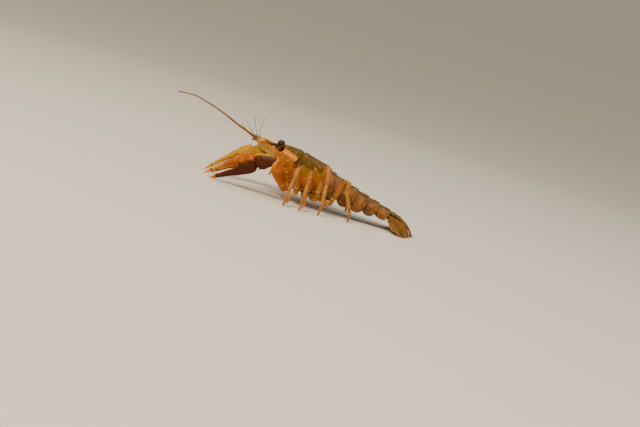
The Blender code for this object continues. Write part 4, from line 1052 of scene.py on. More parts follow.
def segment_ring(share, start, spec):
    """One even cross-section of an abdomen segment, and the ways back and up from it."""
    length, half, arch, side_plate, _ = spec
    crest, along, normal = crest_frame(start + length * share)
    if share == 0.0 and start > 0.0:
        _, along, normal = crest_frame(start - GAP)
    tuck = FRONT_TUCK * max(0.0, 1 - share) ** 1.6 - 0.05 * (share > 1)
    half, depth = half - tuck, arch - tuck
    lobe = side_plate * (0.30 + 0.70 * math.sin(math.pi * min(1.0, 0.12 + 0.80 * max(0.0, share))) ** 0.8)
    top = crest - normal * tuck
    ring = []
    for angle in np.linspace(-math.pi / 2, math.pi / 2, 41):
        y = half * math.copysign(abs(math.sin(angle)) ** SEGMENT_POWER, angle)
        ring.append(top - normal * (depth * (1 - max(0.0, math.cos(angle)) ** SEGMENT_POWER)) + ACROSS * y)
    edge = top - normal * depth
    outer, inner = half * PLATE_SHARE, half * PLATE_SHARE - PLATE_THICKNESS
    belly = edge + normal * 0.6
    for side in (1, -1):
        rows = [edge - normal * lobe + ACROSS * outer * side,
                edge - normal * lobe * 0.96 + ACROSS * inner * side,
                belly + ACROSS * (half * BELLY_SHARE) * side]
        ring += rows + [belly - normal * 0.5] if side == 1 else rows[::-1]
    return resample_ring(ring, SEGMENT_SIDES, 4), along, normal


def swimmeret(root, normal, along, side, length):
    """A stalk with two flat fringed paddles."""
    down = unit(along * 0.25 - normal + ACROSS * side * 0.1)
    knee = root + down * (length * STALK_SHARE)
    path = smooth_path([root + normal * 0.9, lerp(root, knee, 0.5), knee + down * 0.35], 4)
    skins = [tube(path, np.linspace(0.55, 0.34, 9), np.linspace(0.7, 0.42, 9), 14, BACK)]
    hairs = []
    for lean, share in PADDLES:
        way = unit(down + along * 0.35 + ACROSS * side * lean) * (length * share)
        stations = np.linspace(-0.08, 1, 12)
        path = np.array([knee + way * s + along * 0.35 * s * s for s in stations])
        width = 0.3 + 0.5 * np.sin(np.pi * np.clip(stations * 0.85 + 0.12, 0, 1)) ** 0.8
        skins.append(tube(path, width, width * 0.32 + 0.06, 14, BACK))
        for k in range(3, 12):
            for edge in (-1, 1):
                root_point = path[k] + skins[-1]["frames"][k][0] * edge * width[k] * 0.9
                out = skins[-1]["frames"][k][0] * edge + unit(way) * (0.6 + 0.1 * k)
                hairs.append(hair(root_point, out, 0.75, 0.04))
    return skins, hairs


def abdomen():
    """Six plates that overlap like roof tiles, with side lobes, swimmerets and fringes."""
    start, hairs = 0.0, []
    for number, spec in enumerate(SEGMENTS, 1):
        length, half, arch, plate, paddle = spec
        front = FIRST_PLATE_REACH if number == 1 else 0.0
        shares = np.linspace(front, 1, SEGMENT_ROWS)
        if number < len(SEGMENTS):
            shares = np.append(shares, [1 + REAR_LIP / length * f for f in (0.5, 0.9, 1.0)])
        rings = [segment_ring(share, start, spec)[0] for share in shares]
        if number < len(SEGMENTS):
            rings[-1] = rings[-2] + (rings[-2].mean(0) - rings[-2]) * 0.03
        s = loft(rings)
        crest, along, normal = crest_frame(start + length * 0.5)
        share = front + s["masks"]["along"] * (shares[-1] - front)
        depth = (s["points"] - crest) @ -normal
        side = abs(s["points"][:, 1])
        upper = 1 - ramp(depth, arch - 0.8, arch + 0.4)
        height = -0.16 * hill(share, 0.36, 0.035) * upper - 0.13 * hill(share, 0.93, 0.018) * upper
        height += 0.12 * hill(depth, arch + plate * 0.75, 0.3) * (side > half * 0.8)
        height -= 0.2 * hill(share, 0.55, 0.09) * (depth > arch - 1.2) * (side < half * 0.6)
        height -= 0.3 * hill(depth, arch - 1.1 + 0.8 * share, 0.34) * (side > half * 0.8) * (number < 6)
        rear_part = ramp(share, 0.4, 0.5) * (1 - ramp(share, 0.85, 0.92))
        height -= 0.18 * hill(side, half * 0.62, 0.3) * upper * rear_part
        push(s, height)
        rough(s, 1.6, 0.09, number)
        s["masks"]["crest"] = 0.9 - ramp(side, half * 0.25, half * 0.75) * 0.7
        s["masks"]["band"] = hill(share, 0.66, 0.2) * hill(side, half * 0.42, half * 0.3) * upper
        s["masks"]["patch"] = hill(share, 0.55, 0.42) * hill(side, half * 0.82, half * 0.22) * upper
        s["masks"]["rim"] = hill(share, 1.02, 0.03) * upper
        s["masks"]["belly"] = (1 - upper) * (side < half * 0.8)
        skins = [s]
        for sign in (LEFT, RIGHT):
            if paddle:
                root = crest - normal * (arch - 0.8) + ACROSS * (sign * half * SWIMMERET_OFFSET)
                paddles, fringe = swimmeret(root, normal, along, sign, paddle)
                skins += paddles
                hairs += fringe
            for f in np.linspace(0.2, 0.85, 16) if plate > 1.7 else ():
                ring, back, up = segment_ring(f, start, spec)
                lowest = ring[np.argmin(ring @ up - 1000 * (ring[:, 1] * sign > half * 0.6))]
                hairs.append(hair(lowest, unit(back * 0.7 - up), 0.7, 0.04))
        piece(f"abdomen_{number}", skins, ABDOMEN)
        start += length + GAP
    hair_piece("abdomen_fringe", hairs)


def blade_path(spec, side):
    """A function for points along a tail blade, and its root frame."""
    offset, depth, reach, spread, _, _ = spec
    crest, along, normal = crest_frame(sum(row[0] + GAP for row in SEGMENTS))
    root = crest - normal * depth + ACROSS * (side * offset)
    foot = vec(root[0] + reach, side * (offset + spread), 0)
    power, bend = BLADE_ARCH

    def at(share):
        height = root[2] * max(0.0, 1 - share**power) ** bend
        return vec(lerp(root[0], foot[0], share), lerp(root[1], foot[1], share), height)

    level = unit(vec(foot[0] - root[0], foot[1] - root[1], 0))
    return at, level, along


def blade(name, spec, shape, side, keels, jointed, droop=0.0):
    """A tail blade with raised keels, a cross seam, edge thorns and a fringe."""
    at, level, along = blade_path(spec, side)
    half_width, half_depth = spec[4], spec[5]
    s = BLADE_RING
    face = np.concatenate([np.ones(33), -np.ones(31)])
    dome = half_depth * np.sqrt(np.clip(1 - s**2, 0, 1)) ** 0.8
    dish = -0.10 * hill(abs(s), 0.55, 0.22) * (face > 0)
    shares = np.linspace(0, 1, BLADE_ROWS)
    rings, places, step = [], [], 0.01
    for share in shares:
        across, way = np.cross(UP, level), unit(at(min(1, share + step)) - at(max(0, share - step)))
        tilt = droop * side * ramp(share, 0.0, 0.25) * (1 - ramp(share, 0.55, 1.0))
        if share == 0.0:
            across, way = ACROSS, along
        if share == 1.0:
            way = -UP
        lift = unit(np.cross(way, across))
        cos, sin = math.cos(tilt), math.sin(tilt)
        across, lift = across * cos - lift * sin, lift * cos + across * sin
        half, point = half_width * row_at(shape, share)[0], at(share)
        keel = sum(0.14 * hill(s, k, 0.07) for k in keels) * (face > 0) * (1 - ramp(share, 0.85, 1))
        seam = -0.16 * hill(share, SUTURE, 0.012) * (face > 0) if jointed else 0
        ring = point + np.outer(s * half, across) + np.outer(face * dome + keel + seam + dish, lift)
        rings.append(ring)
        places.append((point, across, way, lift, half))
    sheet = loft(rings)
    share = sheet["masks"]["along"]
    s_now = np.append(np.tile(s, BLADE_ROWS), [0, 0])
    sheet["masks"]["rim"] = np.maximum(ramp(abs(s_now), 0.86, 1.0) * 0.8, ramp(share, 0.95, 1.0) * 0.8)
    sheet["masks"]["crest"] = 0.75 * hill(s_now, 0, 0.5)
    sheet["masks"]["band"] = 0.9 * hill(share, 0.3, 0.16) * hill(abs(s_now), 0.5, 0.3)
    rough(sheet, 1.3, 0.05)
    sheet["points"][:, 2] = np.maximum(sheet["points"][:, 2], 0.0)
    thorns, hairs = [], []
    for k, (point, across, way, lift, half) in enumerate(places):
        if jointed and k == round(SUTURE * 63):
            for edge, shift in ((-1, 0.0), (1, 0.0), (-1, 0.5), (1, 0.5)):
                root = point + across * edge * (half - 0.25 - shift)
                thorns.append(spine(root, way + across * edge * 0.15, 0.85 - 0.5 * shift, 0.2, 0.3))
        if shares[k] < 0.5:
            continue
        for edge in (-1, 1):
            for sub in (0.0, 0.33, 0.67):
                root = lerp(point, places[min(63, k + 1)][0], sub) + across * edge * half * 0.96
                out = across * edge * (1 - 0.5 * shares[k]) + way * 0.8
                hairs.append(fringe_hair(root, out, level))
    point, across, way, lift, half = places[-1]
    for s in np.linspace(-0.95, 0.95, 64):
        hairs.append(fringe_hair(point + across * s * half + UP * 0.05, way + across * s * 0.5, level))
    piece(name, [sheet, *thorns], TAIL)
    return hairs


def fringe_hair(root, out, level):
    """A tail bristle that turns along the floor instead of through it."""
    length = draw.uniform(1.0, 1.7)
    way = unit(out)
    room = max(0.0, root[2] - 0.06) / length
    if way[2] < -room:
        flat = unit(vec(way[0], way[1], 0) + level * 0.9 + UP * 0.0001)
        way = flat * math.sqrt(max(0.0, 1 - room**2)) - UP * room
    root = vec(root[0], root[1], max(root[2], 0.09))
    return hair(root, way, length, 0.034)


def tail_fan():
    hairs = blade("telson", TELSON, TELSON_SHAPE, RIGHT, (-0.45, 0.45), True)
    for side, word in SIDES:
        hairs += blade(f"endopod_{word}", ENDOPOD, UROPOD_SHAPE, side, (0.0,), False, 0.25)
        hairs += blade(f"exopod_{word}", EXOPOD, UROPOD_SHAPE, side, (0.0, -0.5 * side), True, 0.6)
    hair_piece("tail_fringe", hairs)


# Feelers and mouthparts

def tapered(points, radii, steps):
    path = smooth_path(points, steps)
    table = list(enumerate(radii))
    return path, np.array([row_at(table, i / steps)[0] for i in range(len(path))])


def ringed_tube(path, radii, count, ring_length, hint=UP, first=None):
    """A feeler of many short rings, each a little wider at its far end."""
    run = run_of(path)
    total = int(run[-1] / (ring_length / 4))
    at = np.linspace(0, run[-1], total)
    fine = at_run(path, run, at)
    phase = (at / ring_length) % 1.0
    waist = 0.13 * hill(phase, 0.0, 0.16) + 0.13 * hill(phase, 1.0, 0.16)
    size = np.interp(at, run, radii) * (1 - waist + 0.02 * phase)
    return tube(fine, size, size, count, hint, first=first, ring=hill(phase, 0.05, 0.2))


def feelers():
    """Long feelers with their jointed bases and scales, and the forked short ones."""
    hairs = []
    for side, word in SIDES:
        base, radii = tapered([mirrored(p, side) for p in ANTENNA_BASE], ANTENNA_BASE_HALVES, 14)
        run = np.linspace(0, 3, len(base))
        seams = sum(hill(run, k, 0.07) for k in (1.15, 2.1))
        radii = radii * (1 - 0.2 * seams + 0.06 * (hill(run, 1.0, 0.08) + hill(run, 1.95, 0.08)))
        # The base, except at its seams, and the scale's socket are painted gold: partly their own colour,
        # partly a painted highlight against the shade under the beak.
        trunk = tube(base, radii, radii, 36, joint=seams, golden=1 - seams)
        thorn = spine(base[8] + vec(0, side * 1.0, -0.3), (-1, side * 0.35, 0.2), 1.3, 0.35, 0.9)
        arm, girth = tapered([mirrored(p, side) for p in SCALE_SOCKET], SCALE_SOCKET_HALVES, 8)
        socket = tube(arm, girth, girth, 30, BACK, golden=np.ones(len(arm)))
        skins = [rough(trunk, 0.9, 0.04), rough(socket, 0.9, 0.05), thorn]
        piece(f"antenna_base_{word}", skins, UNDERSIDE)
        whole = smooth_path([mirrored(p, side) for p in (ANTENNA_LEFT if side == LEFT else ANTENNA_RIGHT)], 6)
        last = len(whole) - 1
        thick = lerp(*ANTENNA_HALVES, (np.arange(last + 1) / last) ** ANTENNA_TAPER)
        fine = smooth_path(whole, 5)
        fine_thick = np.interp(np.arange(len(fine)) / 5, np.arange(last + 1), thick)
        split = (last // 2) * 5
        way = base[-1] - base[-4]
        near = ringed_tube(fine[: split + 1], fine_thick[: split + 1], 16, RING_LENGTH, first=way)
        far = ringed_tube(fine[split:], fine_thick[split:], 14, RING_LENGTH)
        piece(f"antenna_flagellum_{word}_1", [near], FEELER)
        piece(f"antenna_flagellum_{word}_2", [far], FEELER)
        hairs += antenna_scale(side, word)
        antennule(side, word)
    hair_piece("scale_fringe", hairs)


def antenna_scale(side, word):
    """The leaf beside each long feeler: thick outer edge, thin fringed inner edge and an end thorn."""
    rows = [(i, *row) for i, row in enumerate(SCALE)]
    stations = np.linspace(0, len(SCALE) - 1, 46)
    values = np.array([row_at(rows, s) for s in stations])
    path = np.array([mirrored(v[:3], side) for v in values])
    half = np.maximum(values[:, 3], 0.08)
    depth = np.minimum(SCALE_HALF_DEPTH, half * 1.6) * 0.75

    def leaf(i, angles):
        return 1 - 0.12 * hill(np.cos(angles), 0.0, 0.35) * (np.sin(angles) > 0)

    s = tube(path, half, depth, 40, shape=leaf, round_ends=0.4)
    outward = s["points"][:, 1] * side
    middle = np.interp(s["points"][:, 0], path[::-1, 0], path[::-1, 1] * side)
    # The scale's outer edge takes the gold stripe paint: a painted highlight along its lit edge.
    s["masks"]["streak"] = 0.95 * ramp(outward - middle, -1.4, 0.6)
    s["masks"]["crest"] = 0.9 - 0.9 * ramp(outward - middle, -1.2, 0.4)
    piece(f"antenna_scale_{word}", [s], SHELL)
    hairs = []
    for k in range(14, 44):
        inner = s["frames"][k][0] * (1 if s["frames"][k][0][1] * side < 0 else -1)
        hairs.append(hair(path[k] + inner * half[k] * 0.9, inner * 0.8 - BACK * 0.8, 0.9, 0.045))
    return hairs


def antennule(side, word):
    root, elbow = mirrored(ANTENNULE_ROOT, side), mirrored(ANTENNULE_ELBOW, side)
    share = np.linspace(0, 1, 40)
    path = root + (elbow - root) * share[:, None]
    seams = hill(share, 0.45, 0.03) + hill(share, 0.75, 0.03)
    radii = 0.74 + 0.08 * np.sin(np.pi * share) - 0.16 * share - 0.14 * seams
    skins = [tube(path, radii, radii, 24, joint=seams)]
    for tip, (x, y, z) in zip(ANTENNULE_TIPS[side], FORK_TURNS):
        end = mirrored(tip, side)
        turn = elbow + vec(x, side * y, z)
        bow = smooth_path([elbow + BACK * 0.6, turn, lerp(turn, end, 0.5) + vec(*FORK_BOW), end], 12)
        skins.append(ringed_tube(bow, np.linspace(*FORK_HALVES, len(bow)), 10, 0.4))
    piece(f"antennule_{word}", skins, PALE_FEELER)


def maxillipeds():
    """Leg-like mouthparts with bristles along their inner edge."""
    hairs = []
    for side, word in SIDES:
        path, radii = tapered([mirrored(p, side) for p in MAXILLIPED], MAXILLIPED_HALVES, 14)
        run = np.linspace(0, 5, len(path))
        seams = sum(hill(run, k, 0.08) for k in (1.0, 3.0, 3.8, 4.5))
        radii = radii * (1 - 0.22 * seams)
        s = tube(path, radii * 0.9, radii, 30, BACK, first=-UP, joint=seams)
        piece(f"maxilliped_{word}", [rough(s, 0.9, 0.05)], UNDERSIDE)
        for k in range(16, len(path) - 2):
            for _ in range(2):
                out = vec(draw.uniform(-0.4, 0.1), -side, draw.uniform(-0.7, 0.2))
                root = path[k] + unit(out) * radii[k] * 0.9
                hairs.append(hair(root, out + unit(path[k + 1] - path[k]) * 0.5, 0.8, 0.04))
    hair_piece("mouth_bristles", hairs)


# Limbs

def halving(before, joint, after):
    return unit(unit(joint - before) + unit(after - joint))


def bevel_middle(x, side):
    _, half, bottom = row_at(CORE, x)
    return vec(x, side * (half - CORE_BEVEL[0] / 2), bottom + CORE_BEVEL[1] / 2)


def thorax_root(x, side):
    """Middle and outward normal of the slanted face under the thorax at x."""
    along = bevel_middle(x + 1, side) - bevel_middle(x - 1, side)
    normal = unit(np.cross(along, vec(0, side * CORE_BEVEL[0], CORE_BEVEL[1])))
    return bevel_middle(x, side), normal if normal[1] * side > 0 else -normal


def limb(joints, stations, count, first, last, flat=1.0, seams=(), tip=0.0, steps=7, edges=0.0):
    """A limb length through joints, waisted and paler where its parts meet."""
    path = smooth_path([lerp(joints[run], joints[run + 1], share) for run, share, _ in stations], steps)
    table = [(i, radius) for i, (_, _, radius) in enumerate(stations)]
    radii = np.array([row_at(table, i / steps)[0] for i in range(len(path))])
    run = run_of(path)
    fine_run = np.linspace(0, run[-1], max(24, int(run[-1] / 0.3)))
    fine = at_run(path, run, fine_run)
    radii = np.interp(fine_run, run, radii)
    seam = np.zeros(len(fine))
    for place in seams:
        at = fine_run[np.argmin(np.linalg.norm(fine - place, axis=1))]
        seam += hill(fine_run, at, 0.38)
        radii = radii * (1 - 0.2 * hill(fine_run, at, 0.3) + 0.07 * hill(fine_run, at - 0.75, 0.4))
    end = ramp(fine_run, run[-1] - 1.9, run[-1] - 0.9) * tip

    def section(i, angles):
        return 1 + edges * np.cos(3 * angles + 0.5)

    s = tube(fine, radii * flat, radii, count, first=first, last=last, round_ends=0.4, joint=seam, tip=end,
             shape=section)
    s["path"], s["radii"] = fine, radii
    return s


def leg_joints(number, side):
    joints = [mirrored(p, side) for p in LEGS[number][1:]]
    if side == RIGHT:
        shift, drop = RIGHT_LEG_SHIFT[number], RIGHT_KNEE_DROP[number]
        for joint, a, b, c in zip(joints, SHIFT_SHARES, DROP_SHARES, SPREAD_SHARES):
            joint += vec(shift * a, drop * c, -drop * b)
    return joints


def leg_hairs(s):
    """Short bristles around a leg, except close to the floor."""
    hairs = []
    for k in range(LEG_HAIR_START, len(s["path"]) - 2):
        side, up = s["frames"][k]
        for _ in range(3):
            a = draw.uniform(0, 2 * math.pi)
            out = side * math.cos(a) + up * math.sin(a)
            along = unit(s["path"][k + 1] - s["path"][k])
            root = s["path"][k] + out * s["radii"][k] * 0.9
            hairs.append(hair(root, out * 0.7 + along, draw.uniform(0.5, 1.0), 0.036))
    return [h for h in hairs if h["points"][:, 2].min() > 0.1]


def walking_legs():
    """Four pairs of walking legs, the first two pairs with small pincers."""
    hairs = []
    for number in LEGS:
        for side, word in SIDES:
            root, out = thorax_root(LEGS[number][0], side)
            hip, knee, wrist, palm, foot = leg_joints(number, side)
            start = root + out * ROOT_GAP
            bend = halving(hip, knee, wrist)
            coxa = start + out * COXA_RUN
            stations = [*LEG_ROOT, *UPPER_LEG]
            if np.linalg.norm(hip - coxa) > LONG_HIP:
                stations.insert(len(LEG_ROOT), LONG_HIP_STATION)
            joints = [start, coxa, hip, knee, knee + bend * KNEE_RUN]
            ischium = lerp(hip, knee, 0.28)
            upper = limb(joints, stations, 26, out, bend, seams=(coxa, hip, ischium))
            upper["masks"]["crest"] = ramp(upper["masks"]["along"], 0.3, 0.9) * 0.7
            name = f"leg_{number}_{word}"
            piece(f"{name}_upper", [rough(upper, 0.9, 0.05)], LEG)
            below = knee + bend * (KNEE_RUN + GAP)
            joints = [below, below + bend * KNEE_RUN, wrist, palm, foot]
            seams = (wrist,) if number in PINCER_LEGS else (wrist, palm)
            lower = limb(joints, LOWER_LEG, 24, bend, -UP, seams=seams, tip=1.0)
            skins = [rough(lower, 0.9, 0.04)]
            if number in PINCER_LEGS:
                skins.append(pincer(palm, foot))
            for s in skins:
                s["points"][:, 2] = np.maximum(s["points"][:, 2], 0.0)
            piece(f"{name}_lower", skins, LEG)
            hairs += leg_hairs(lower)
    hair_piece("leg_hairs", hairs)


def pincer(palm, foot):
    along = unit(foot - palm)
    off = unit(np.cross(along, ACROSS))
    back, step, thin = PINCER_TIP
    rows = [palm + along * run + off * offset for run, offset, _ in PINCER]
    rows.append(foot - along * back + off * step)
    path, radii = tapered(rows, [r for _, _, r in PINCER] + [thin], 8)
    return tube(path, radii, radii, 18, tip=ramp(np.linspace(0, 1, len(path)), 0.75, 0.9))


def claw_skin(wrist, ahead, up, rows, tip=None, floor_tip=False, count=44, steps=46):
    """A skin along a claw's middle line, deep along up."""
    side = unit(np.cross(ahead, up))
    turn = 2 * np.pi * np.arange(count) / count
    rings = []
    for t in np.linspace(rows[0][0], rows[-1][0], steps):
        h, deep, thick = row_at(rows, t)
        middle = wrist + ahead * t + up * h
        rings.append(middle + np.outer(np.cos(turn) * thick, side) + np.outer(np.sin(turn) * deep, up))
    if tip:
        point = wrist + ahead * tip[0] + up * tip[1]
        point[2] = TIP_RADIUS * 0.9 if floor_tip else point[2]
        last = rings[-1]
        middle = last.mean(0)
        for f in (0.35, 0.65, 0.88, 1.0):
            scale = lerp(1.0, TIP_RADIUS / 0.8, f) * math.sqrt(max(0.12, 1 - f**3))
            rings.append(lerp(middle, point, f) + (last - middle) * scale)
    return loft(rings)


def teeth(wrist, ahead, up, rows, places, direction):
    """Rounded teeth along a cutting edge."""
    found = []
    for t in places:
        h, deep, _ = row_at(rows, t)
        root = wrist + ahead * t + up * (h + direction * (deep - 0.05))
        size = 0.42 if round(t * 10) % 3 else 0.58
        found.append(spine(root, up * direction, size * 0.8, size, 0.5, 12))
    return found


def claw_paint(s, wrist, ahead, up, inner, length, near, horn):
    """Masks from the place on the claw: inner face, a purple-brown lower half that is partly its own colour
    and partly painted shade and is deepest on the near claw, dark band and bright tip.
    """
    place = s["points"] - wrist
    along, height, inward = place @ ahead, place @ up, place @ inner
    s["masks"]["inner"] = 0.5 + 0.28 * inward + 0.10 * height - (0.35 if near else 0.0)
    # Purple-brown low down and on the near claw: partly the claw's own colour, partly painted shade from the
    # light above and from the far claw over the near one.
    s["masks"]["under"] = 0.42 - 0.26 * (height + 0.7) - 0.18 * inward + (0.18 if near else -0.15)
    s["masks"]["horn"] = ramp(along, length - 17.0, length - 6.0) * horn
    s["masks"]["band"] = hill(along, length - 4.4, 0.9)
    s["masks"]["tip"] = 0.5 + (along - (length - 3.2)) * 0.5
    s["masks"]["point"] = 0.5 + (along - (length - 1.2)) * 0.6
    return s


def claw_limb(side, word):
    """One claw limb: its root here, then arm, wrist piece and claw."""
    root_x, *rest = CLAW_ARM[side]
    hip, elbow, wrist, tips = (mirrored(p, side) for p in rest)
    root, out = thorax_root(root_x, side)
    start = root + out * ROOT_GAP
    turn, bend = halving(start + out, hip, elbow), halving(hip, elbow, wrist)
    coxa = limb([start, hip - turn * (GAP / 2)], ROOT_STATIONS, 36, out, turn, seams=(lerp(start, hip, 0.5),))
    piece(f"claw_root_{word}", [rough(coxa, 1.2, 0.08)], UNDERSIDE)
    ahead = unit(tips - wrist)
    up = unit(UP - ahead * (UP @ ahead))
    claw_arm(hip, elbow, turn, bend, side, word)
    claw_wrist(elbow, wrist, bend, ahead, side, word)
    claw_hand(wrist, ahead, up, side, word)


def claw_arm(hip, elbow, turn, bend, side, word):
    """A claw's flattened arm, with a few thorns on top and two rows of them below."""
    joints = [hip + turn * (GAP / 2), elbow - bend * (GAP / 2)]
    ischium = lerp(hip, elbow, 0.2)
    arm = limb(joints, ARM_STATIONS, 60, turn, bend, ARM_FLATNESS, (ischium,), edges=0.035)
    ahead = unit(elbow - hip)
    inner = inner_side(ahead, UP, side)
    up = unit(np.cross(inner, ahead))
    up = up if up[0] < 0 else -up
    place = arm["points"] - hip
    arm["masks"]["inner"] = 0.25 + 0.13 * (place @ up) + 0.1 * (place @ inner)
    # Purple-brown towards the lower side: partly the arm's own colour, partly painted shade.
    arm["masks"]["under"] = 0.2 - 0.12 * (place @ up)
    # The far end of the arm is painted gold: a painted highlight where the light catches the elbow.
    arm["masks"]["rim"] = ramp(arm["masks"]["along"], 0.84, 0.97)
    thorns = [spine(lerp(hip, elbow, f) + up * ARM_SPINE_RISE, up + ahead * 0.8, length, 0.42, 1.0)
              for f, length in ARM_SPINES]
    for offset in ARM_ROWS_BELOW:
        for f in np.linspace(0.3, 0.86, 7):
            foot = lerp(hip, elbow, f) - up * (2.0 + 0.9 * f) + inner * offset
            thorns.append(spine(foot, ahead * 0.7 - up, draw.uniform(0.6, 1.1), 0.38, 1.0))
    piece(f"claw_arm_{word}", [rough(arm, 1.4, 0.08), *thorns], ARM)


def claw_wrist(elbow, wrist, bend, ahead, side, word):
    """The wrist piece between arm and palm, with a large inner thorn, smaller thorns and knobs."""
    joints = [elbow + bend * (GAP / 2), wrist - ahead * GAP / 2]
    carpus = limb(joints, WRIST_STATIONS, 60, bend, ahead, WRIST_FLATNESS, edges=0.02)
    way = unit(wrist - elbow)
    inward = inner_side(way, UP, side)
    over = unit(UP - way * (UP @ way))
    place = carpus["points"] - lerp(elbow, wrist, 0.5)
    carpus["masks"]["inner"] = 0.45 + 0.14 * (place @ over) + 0.12 * (place @ inward)
    # Purple-brown on the wrist's lower and outer side, and much more on the near wrist: partly its own
    # colour, partly painted shade, the near wrist lying in shade.
    side_shade = 0.34 if side == LEFT else -0.1
    carpus["masks"]["under"] = 0.5 - 0.17 * (place @ over) + side_shade - 0.12 * (place @ inward)
    push(carpus, -0.35 * hill(place @ inward, 0.6, 0.5) * (place @ over > 1.0))
    thorns = []
    for f, rise, reach, lean_up, lean_in, lean_on, *sizes in WRIST_SPINES:
        foot = lerp(elbow, wrist, f) + over * rise + inward * reach
        thorns.append(spine(foot, over * lean_up + inward * lean_in + way * lean_on, *sizes))
    for f, a in WRIST_KNOBS:
        foot = lerp(elbow, wrist, f) + (over * math.sin(a) + inward * math.cos(a)) * WRIST_KNOB_REACH
        thorns.append(spine(foot, over + inward + way * 0.5, 0.5, 0.32, 0.8))
    piece(f"claw_wrist_{word}", [rough(carpus, 1.4, 0.08), *thorns], CLAW)


def claw_hand(wrist, ahead, up, side, word):
    """A claw: the palm with its fixed finger, and the movable finger."""
    near = side == LEFT
    inner = inner_side(ahead, up, side)
    cutting = np.arange(10.8, 21.5, 1.05)
    finger = claw_skin(wrist, ahead, up, FIXED_FINGER, FIXED_TIP, floor_tip=True)
    bites = teeth(wrist, ahead, up, FIXED_FINGER, cutting, 1)
    hand = fuse([claw_skin(wrist, ahead, up, PALM), finger, *bites], CLAW_VOXEL, 4)
    hand = detail_claw(hand, wrist, ahead, up, inner)
    hand["points"][:, 2] = np.maximum(hand["points"][:, 2], 0.0)
    claw_paint(hand, wrist, ahead, up, inner, FIXED_TIP[0], near, 0.4)
    knobs = []
    for t, h in PALM_KNOBS:
        foot = wrist + ahead * t + up * (h - 0.1)
        knobs.append(spine(foot, up + inner * 0.3 + ahead * 0.4, 0.5, 0.42, 0.7))
    for t, h in INNER_KNOBS:
        knobs.append(spine(wrist + ahead * t + up * h + inner * 2.0, inner + up * 0.6, 0.45, 0.42, 0.8))
    piece(f"claw_palm_{word}", [hand, *knobs], CLAW)

    close, hinge = FINGER_CLOSE[side], DACTYL[0][0]
    rows = [(t, h - (t - hinge) * close, deep, thick) for t, h, deep, thick in DACTYL]
    rows = [*HINGE, *rows[1:]]
    tip = (DACTYL_TIP[0], DACTYL_TIP[1] - (DACTYL_TIP[0] - hinge) * close)
    bites = teeth(wrist, ahead, up, rows, cutting + 0.5, -1)
    movable = fuse([claw_skin(wrist, ahead, up, rows, tip), *bites], CLAW_VOXEL, 4)
    movable = detail_claw(movable, wrist, ahead, up, inner)
    claw_paint(movable, wrist, ahead, up, inner, DACTYL_TIP[0], near, 1.1 if near else 0.6)
    movable["masks"]["under"] -= 0.4
    piece(f"claw_finger_{word}", [movable], CLAW)


def detail_claw(s, wrist, ahead, up, inner):
    """Long low ridges on the fingers, and pits and grains all over."""
    place = s["points"] - wrist
    along, height, inward = place @ ahead, place @ up, place @ inner
    middle = np.where(height > 0.45, 2.5, -2.0)
    fading = ramp(along, 9.5, 11.5) * (1 - ramp(along, 20, 22))
    push(s, 0.13 * hill(height, middle, 0.22) * (abs(inward) > 0.5) * fading)
    rough(s, 1.5, 0.09)
    grains(s, 130, 0.34, -0.07, along < 22)
    return grains(s, 60, 0.4, 0.09, (along < 9) & (height > -1.0))


def inner_side(ahead, up, side):
    across = unit(np.cross(ahead, up))
    return across if across[1] * side < 0 else -across


# Floor, lights and camera

# The floor in metres. Each lamp has a place and a size in metres, a power and a colour.
FLOOR_REACH = 4.6
FLOOR_FLAT = 0.8
FLOOR_CURVE = 0.16
FLOOR_RINGS = 60
FLOOR_SIDES = 96
LAMPS = (
    ("key", (-0.35, -0.5, 0.8), 0.45, 11.0, srgb(255, 234, 204)),
    ("fill", (0.6, -0.6, 0.4), 0.6, 2.4, srgb(240, 242, 250)),
    ("back", (0.1, 0.55, 0.9), 0.6, 2.2, srgb(255, 246, 232)),
)


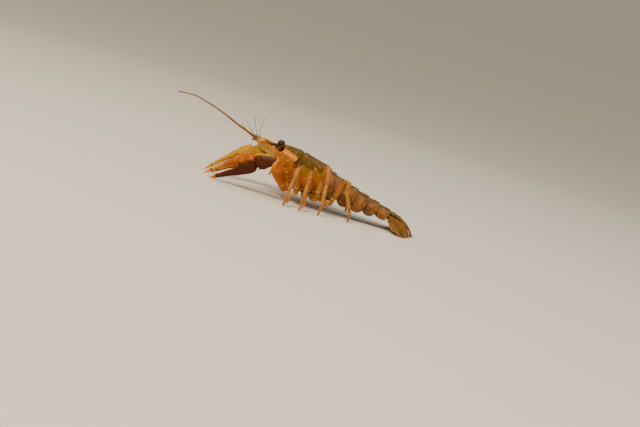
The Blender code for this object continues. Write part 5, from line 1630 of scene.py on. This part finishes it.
def studio():
    """A pale floor that curves up far away on all sides, and soft lights inside it."""
    radii = np.linspace(0, FLOOR_REACH, FLOOR_RINGS)
    profile = [(r, FLOOR_CURVE * max(0.0, r - FLOOR_FLAT) ** 2) for r in radii]
    count = FLOOR_SIDES
    turn = 2 * np.pi * np.arange(count) / count
    points = [(r * math.cos(a), r * math.sin(a), z) for r, z in profile[1:] for a in turn] + [(0, 0, 0)]
    faces = []
    for k in range(len(profile) - 2):
        for i in range(count):
            j = (i + 1) % count
            faces.append((k * count + j, k * count + i, (k + 1) * count + i, (k + 1) * count + j))
    faces += [(len(points) - 1, i, (i + 1) % count) for i in range(count)]
    mesh = bpy.data.meshes.new("floor")
    mesh.from_pydata(points, [], faces)
    mesh.shade_smooth()
    floor = bpy.data.objects.new("floor", mesh)
    bpy.context.scene.collection.objects.link(floor)
    material = bpy.data.materials.new("floor")
    material.use_nodes = True
    shader = material.node_tree.nodes["Principled BSDF"]
    shader.inputs["Base Color"].default_value = srgb(226, 222, 214)
    shader.inputs["Roughness"].default_value = 0.75
    mesh.materials.append(material)

    world = bpy.data.worlds.new("studio")
    bpy.context.scene.world = world
    world.use_nodes = True
    world.node_tree.nodes["Background"].inputs["Color"].default_value = srgb(240, 228, 208)
    world.node_tree.nodes["Background"].inputs["Strength"].default_value = 0.5
    for name, place, size, power, colour in LAMPS:
        light = bpy.data.lights.new(name, "AREA")
        light.size = size
        light.energy = power
        light.color = colour[:3]
        lamp = bpy.data.objects.new(name, light)
        lamp.location = place
        lamp.rotation_euler = Vector(place).to_track_quat("Z", "Y").to_euler()
        bpy.context.scene.collection.objects.link(lamp)


# The photo's frame is 640 by 427 pixels and covers about half a millimetre a pixel at the animal.
FRAME_WIDTH = 320.0
FRAME_CENTRE = vec(56.2, 0.0, -2.3)
ELEVATION = math.radians(9)
ROLL = math.radians(17)
LENS = 55.0
SENSOR = 36.0


def camera():
    """The photo's view: from the left side, a little above, tilted so that the head is high."""
    data = bpy.data.cameras.new("camera")
    data.lens, data.sensor_width = LENS, SENSOR
    obj = bpy.data.objects.new("camera", data)
    bpy.context.scene.collection.objects.link(obj)
    bpy.context.scene.camera = obj
    distance = FRAME_WIDTH * LENS / SENSOR * MM
    centre = FRAME_CENTRE * MM + SHIFT
    back = vec(0, -math.cos(ELEVATION), math.sin(ELEVATION))
    straight_up = vec(0, math.sin(ELEVATION), math.cos(ELEVATION))
    right = BACK * math.cos(ROLL) + straight_up * math.sin(ROLL)
    up = -BACK * math.sin(ROLL) + straight_up * math.cos(ROLL)
    axes = Matrix([right, up, back]).transposed().to_4x4()
    obj.matrix_world = Matrix.Translation(Vector(centre + back * distance)) @ axes
    data.clip_start, data.clip_end = 0.01, 10.0


carapace()
eyes()
cores()
abdomen()
tail_fan()
feelers()
maxillipeds()
walking_legs()
claw_limb(LEFT, "left")
claw_limb(RIGHT, "right")
studio()
camera()
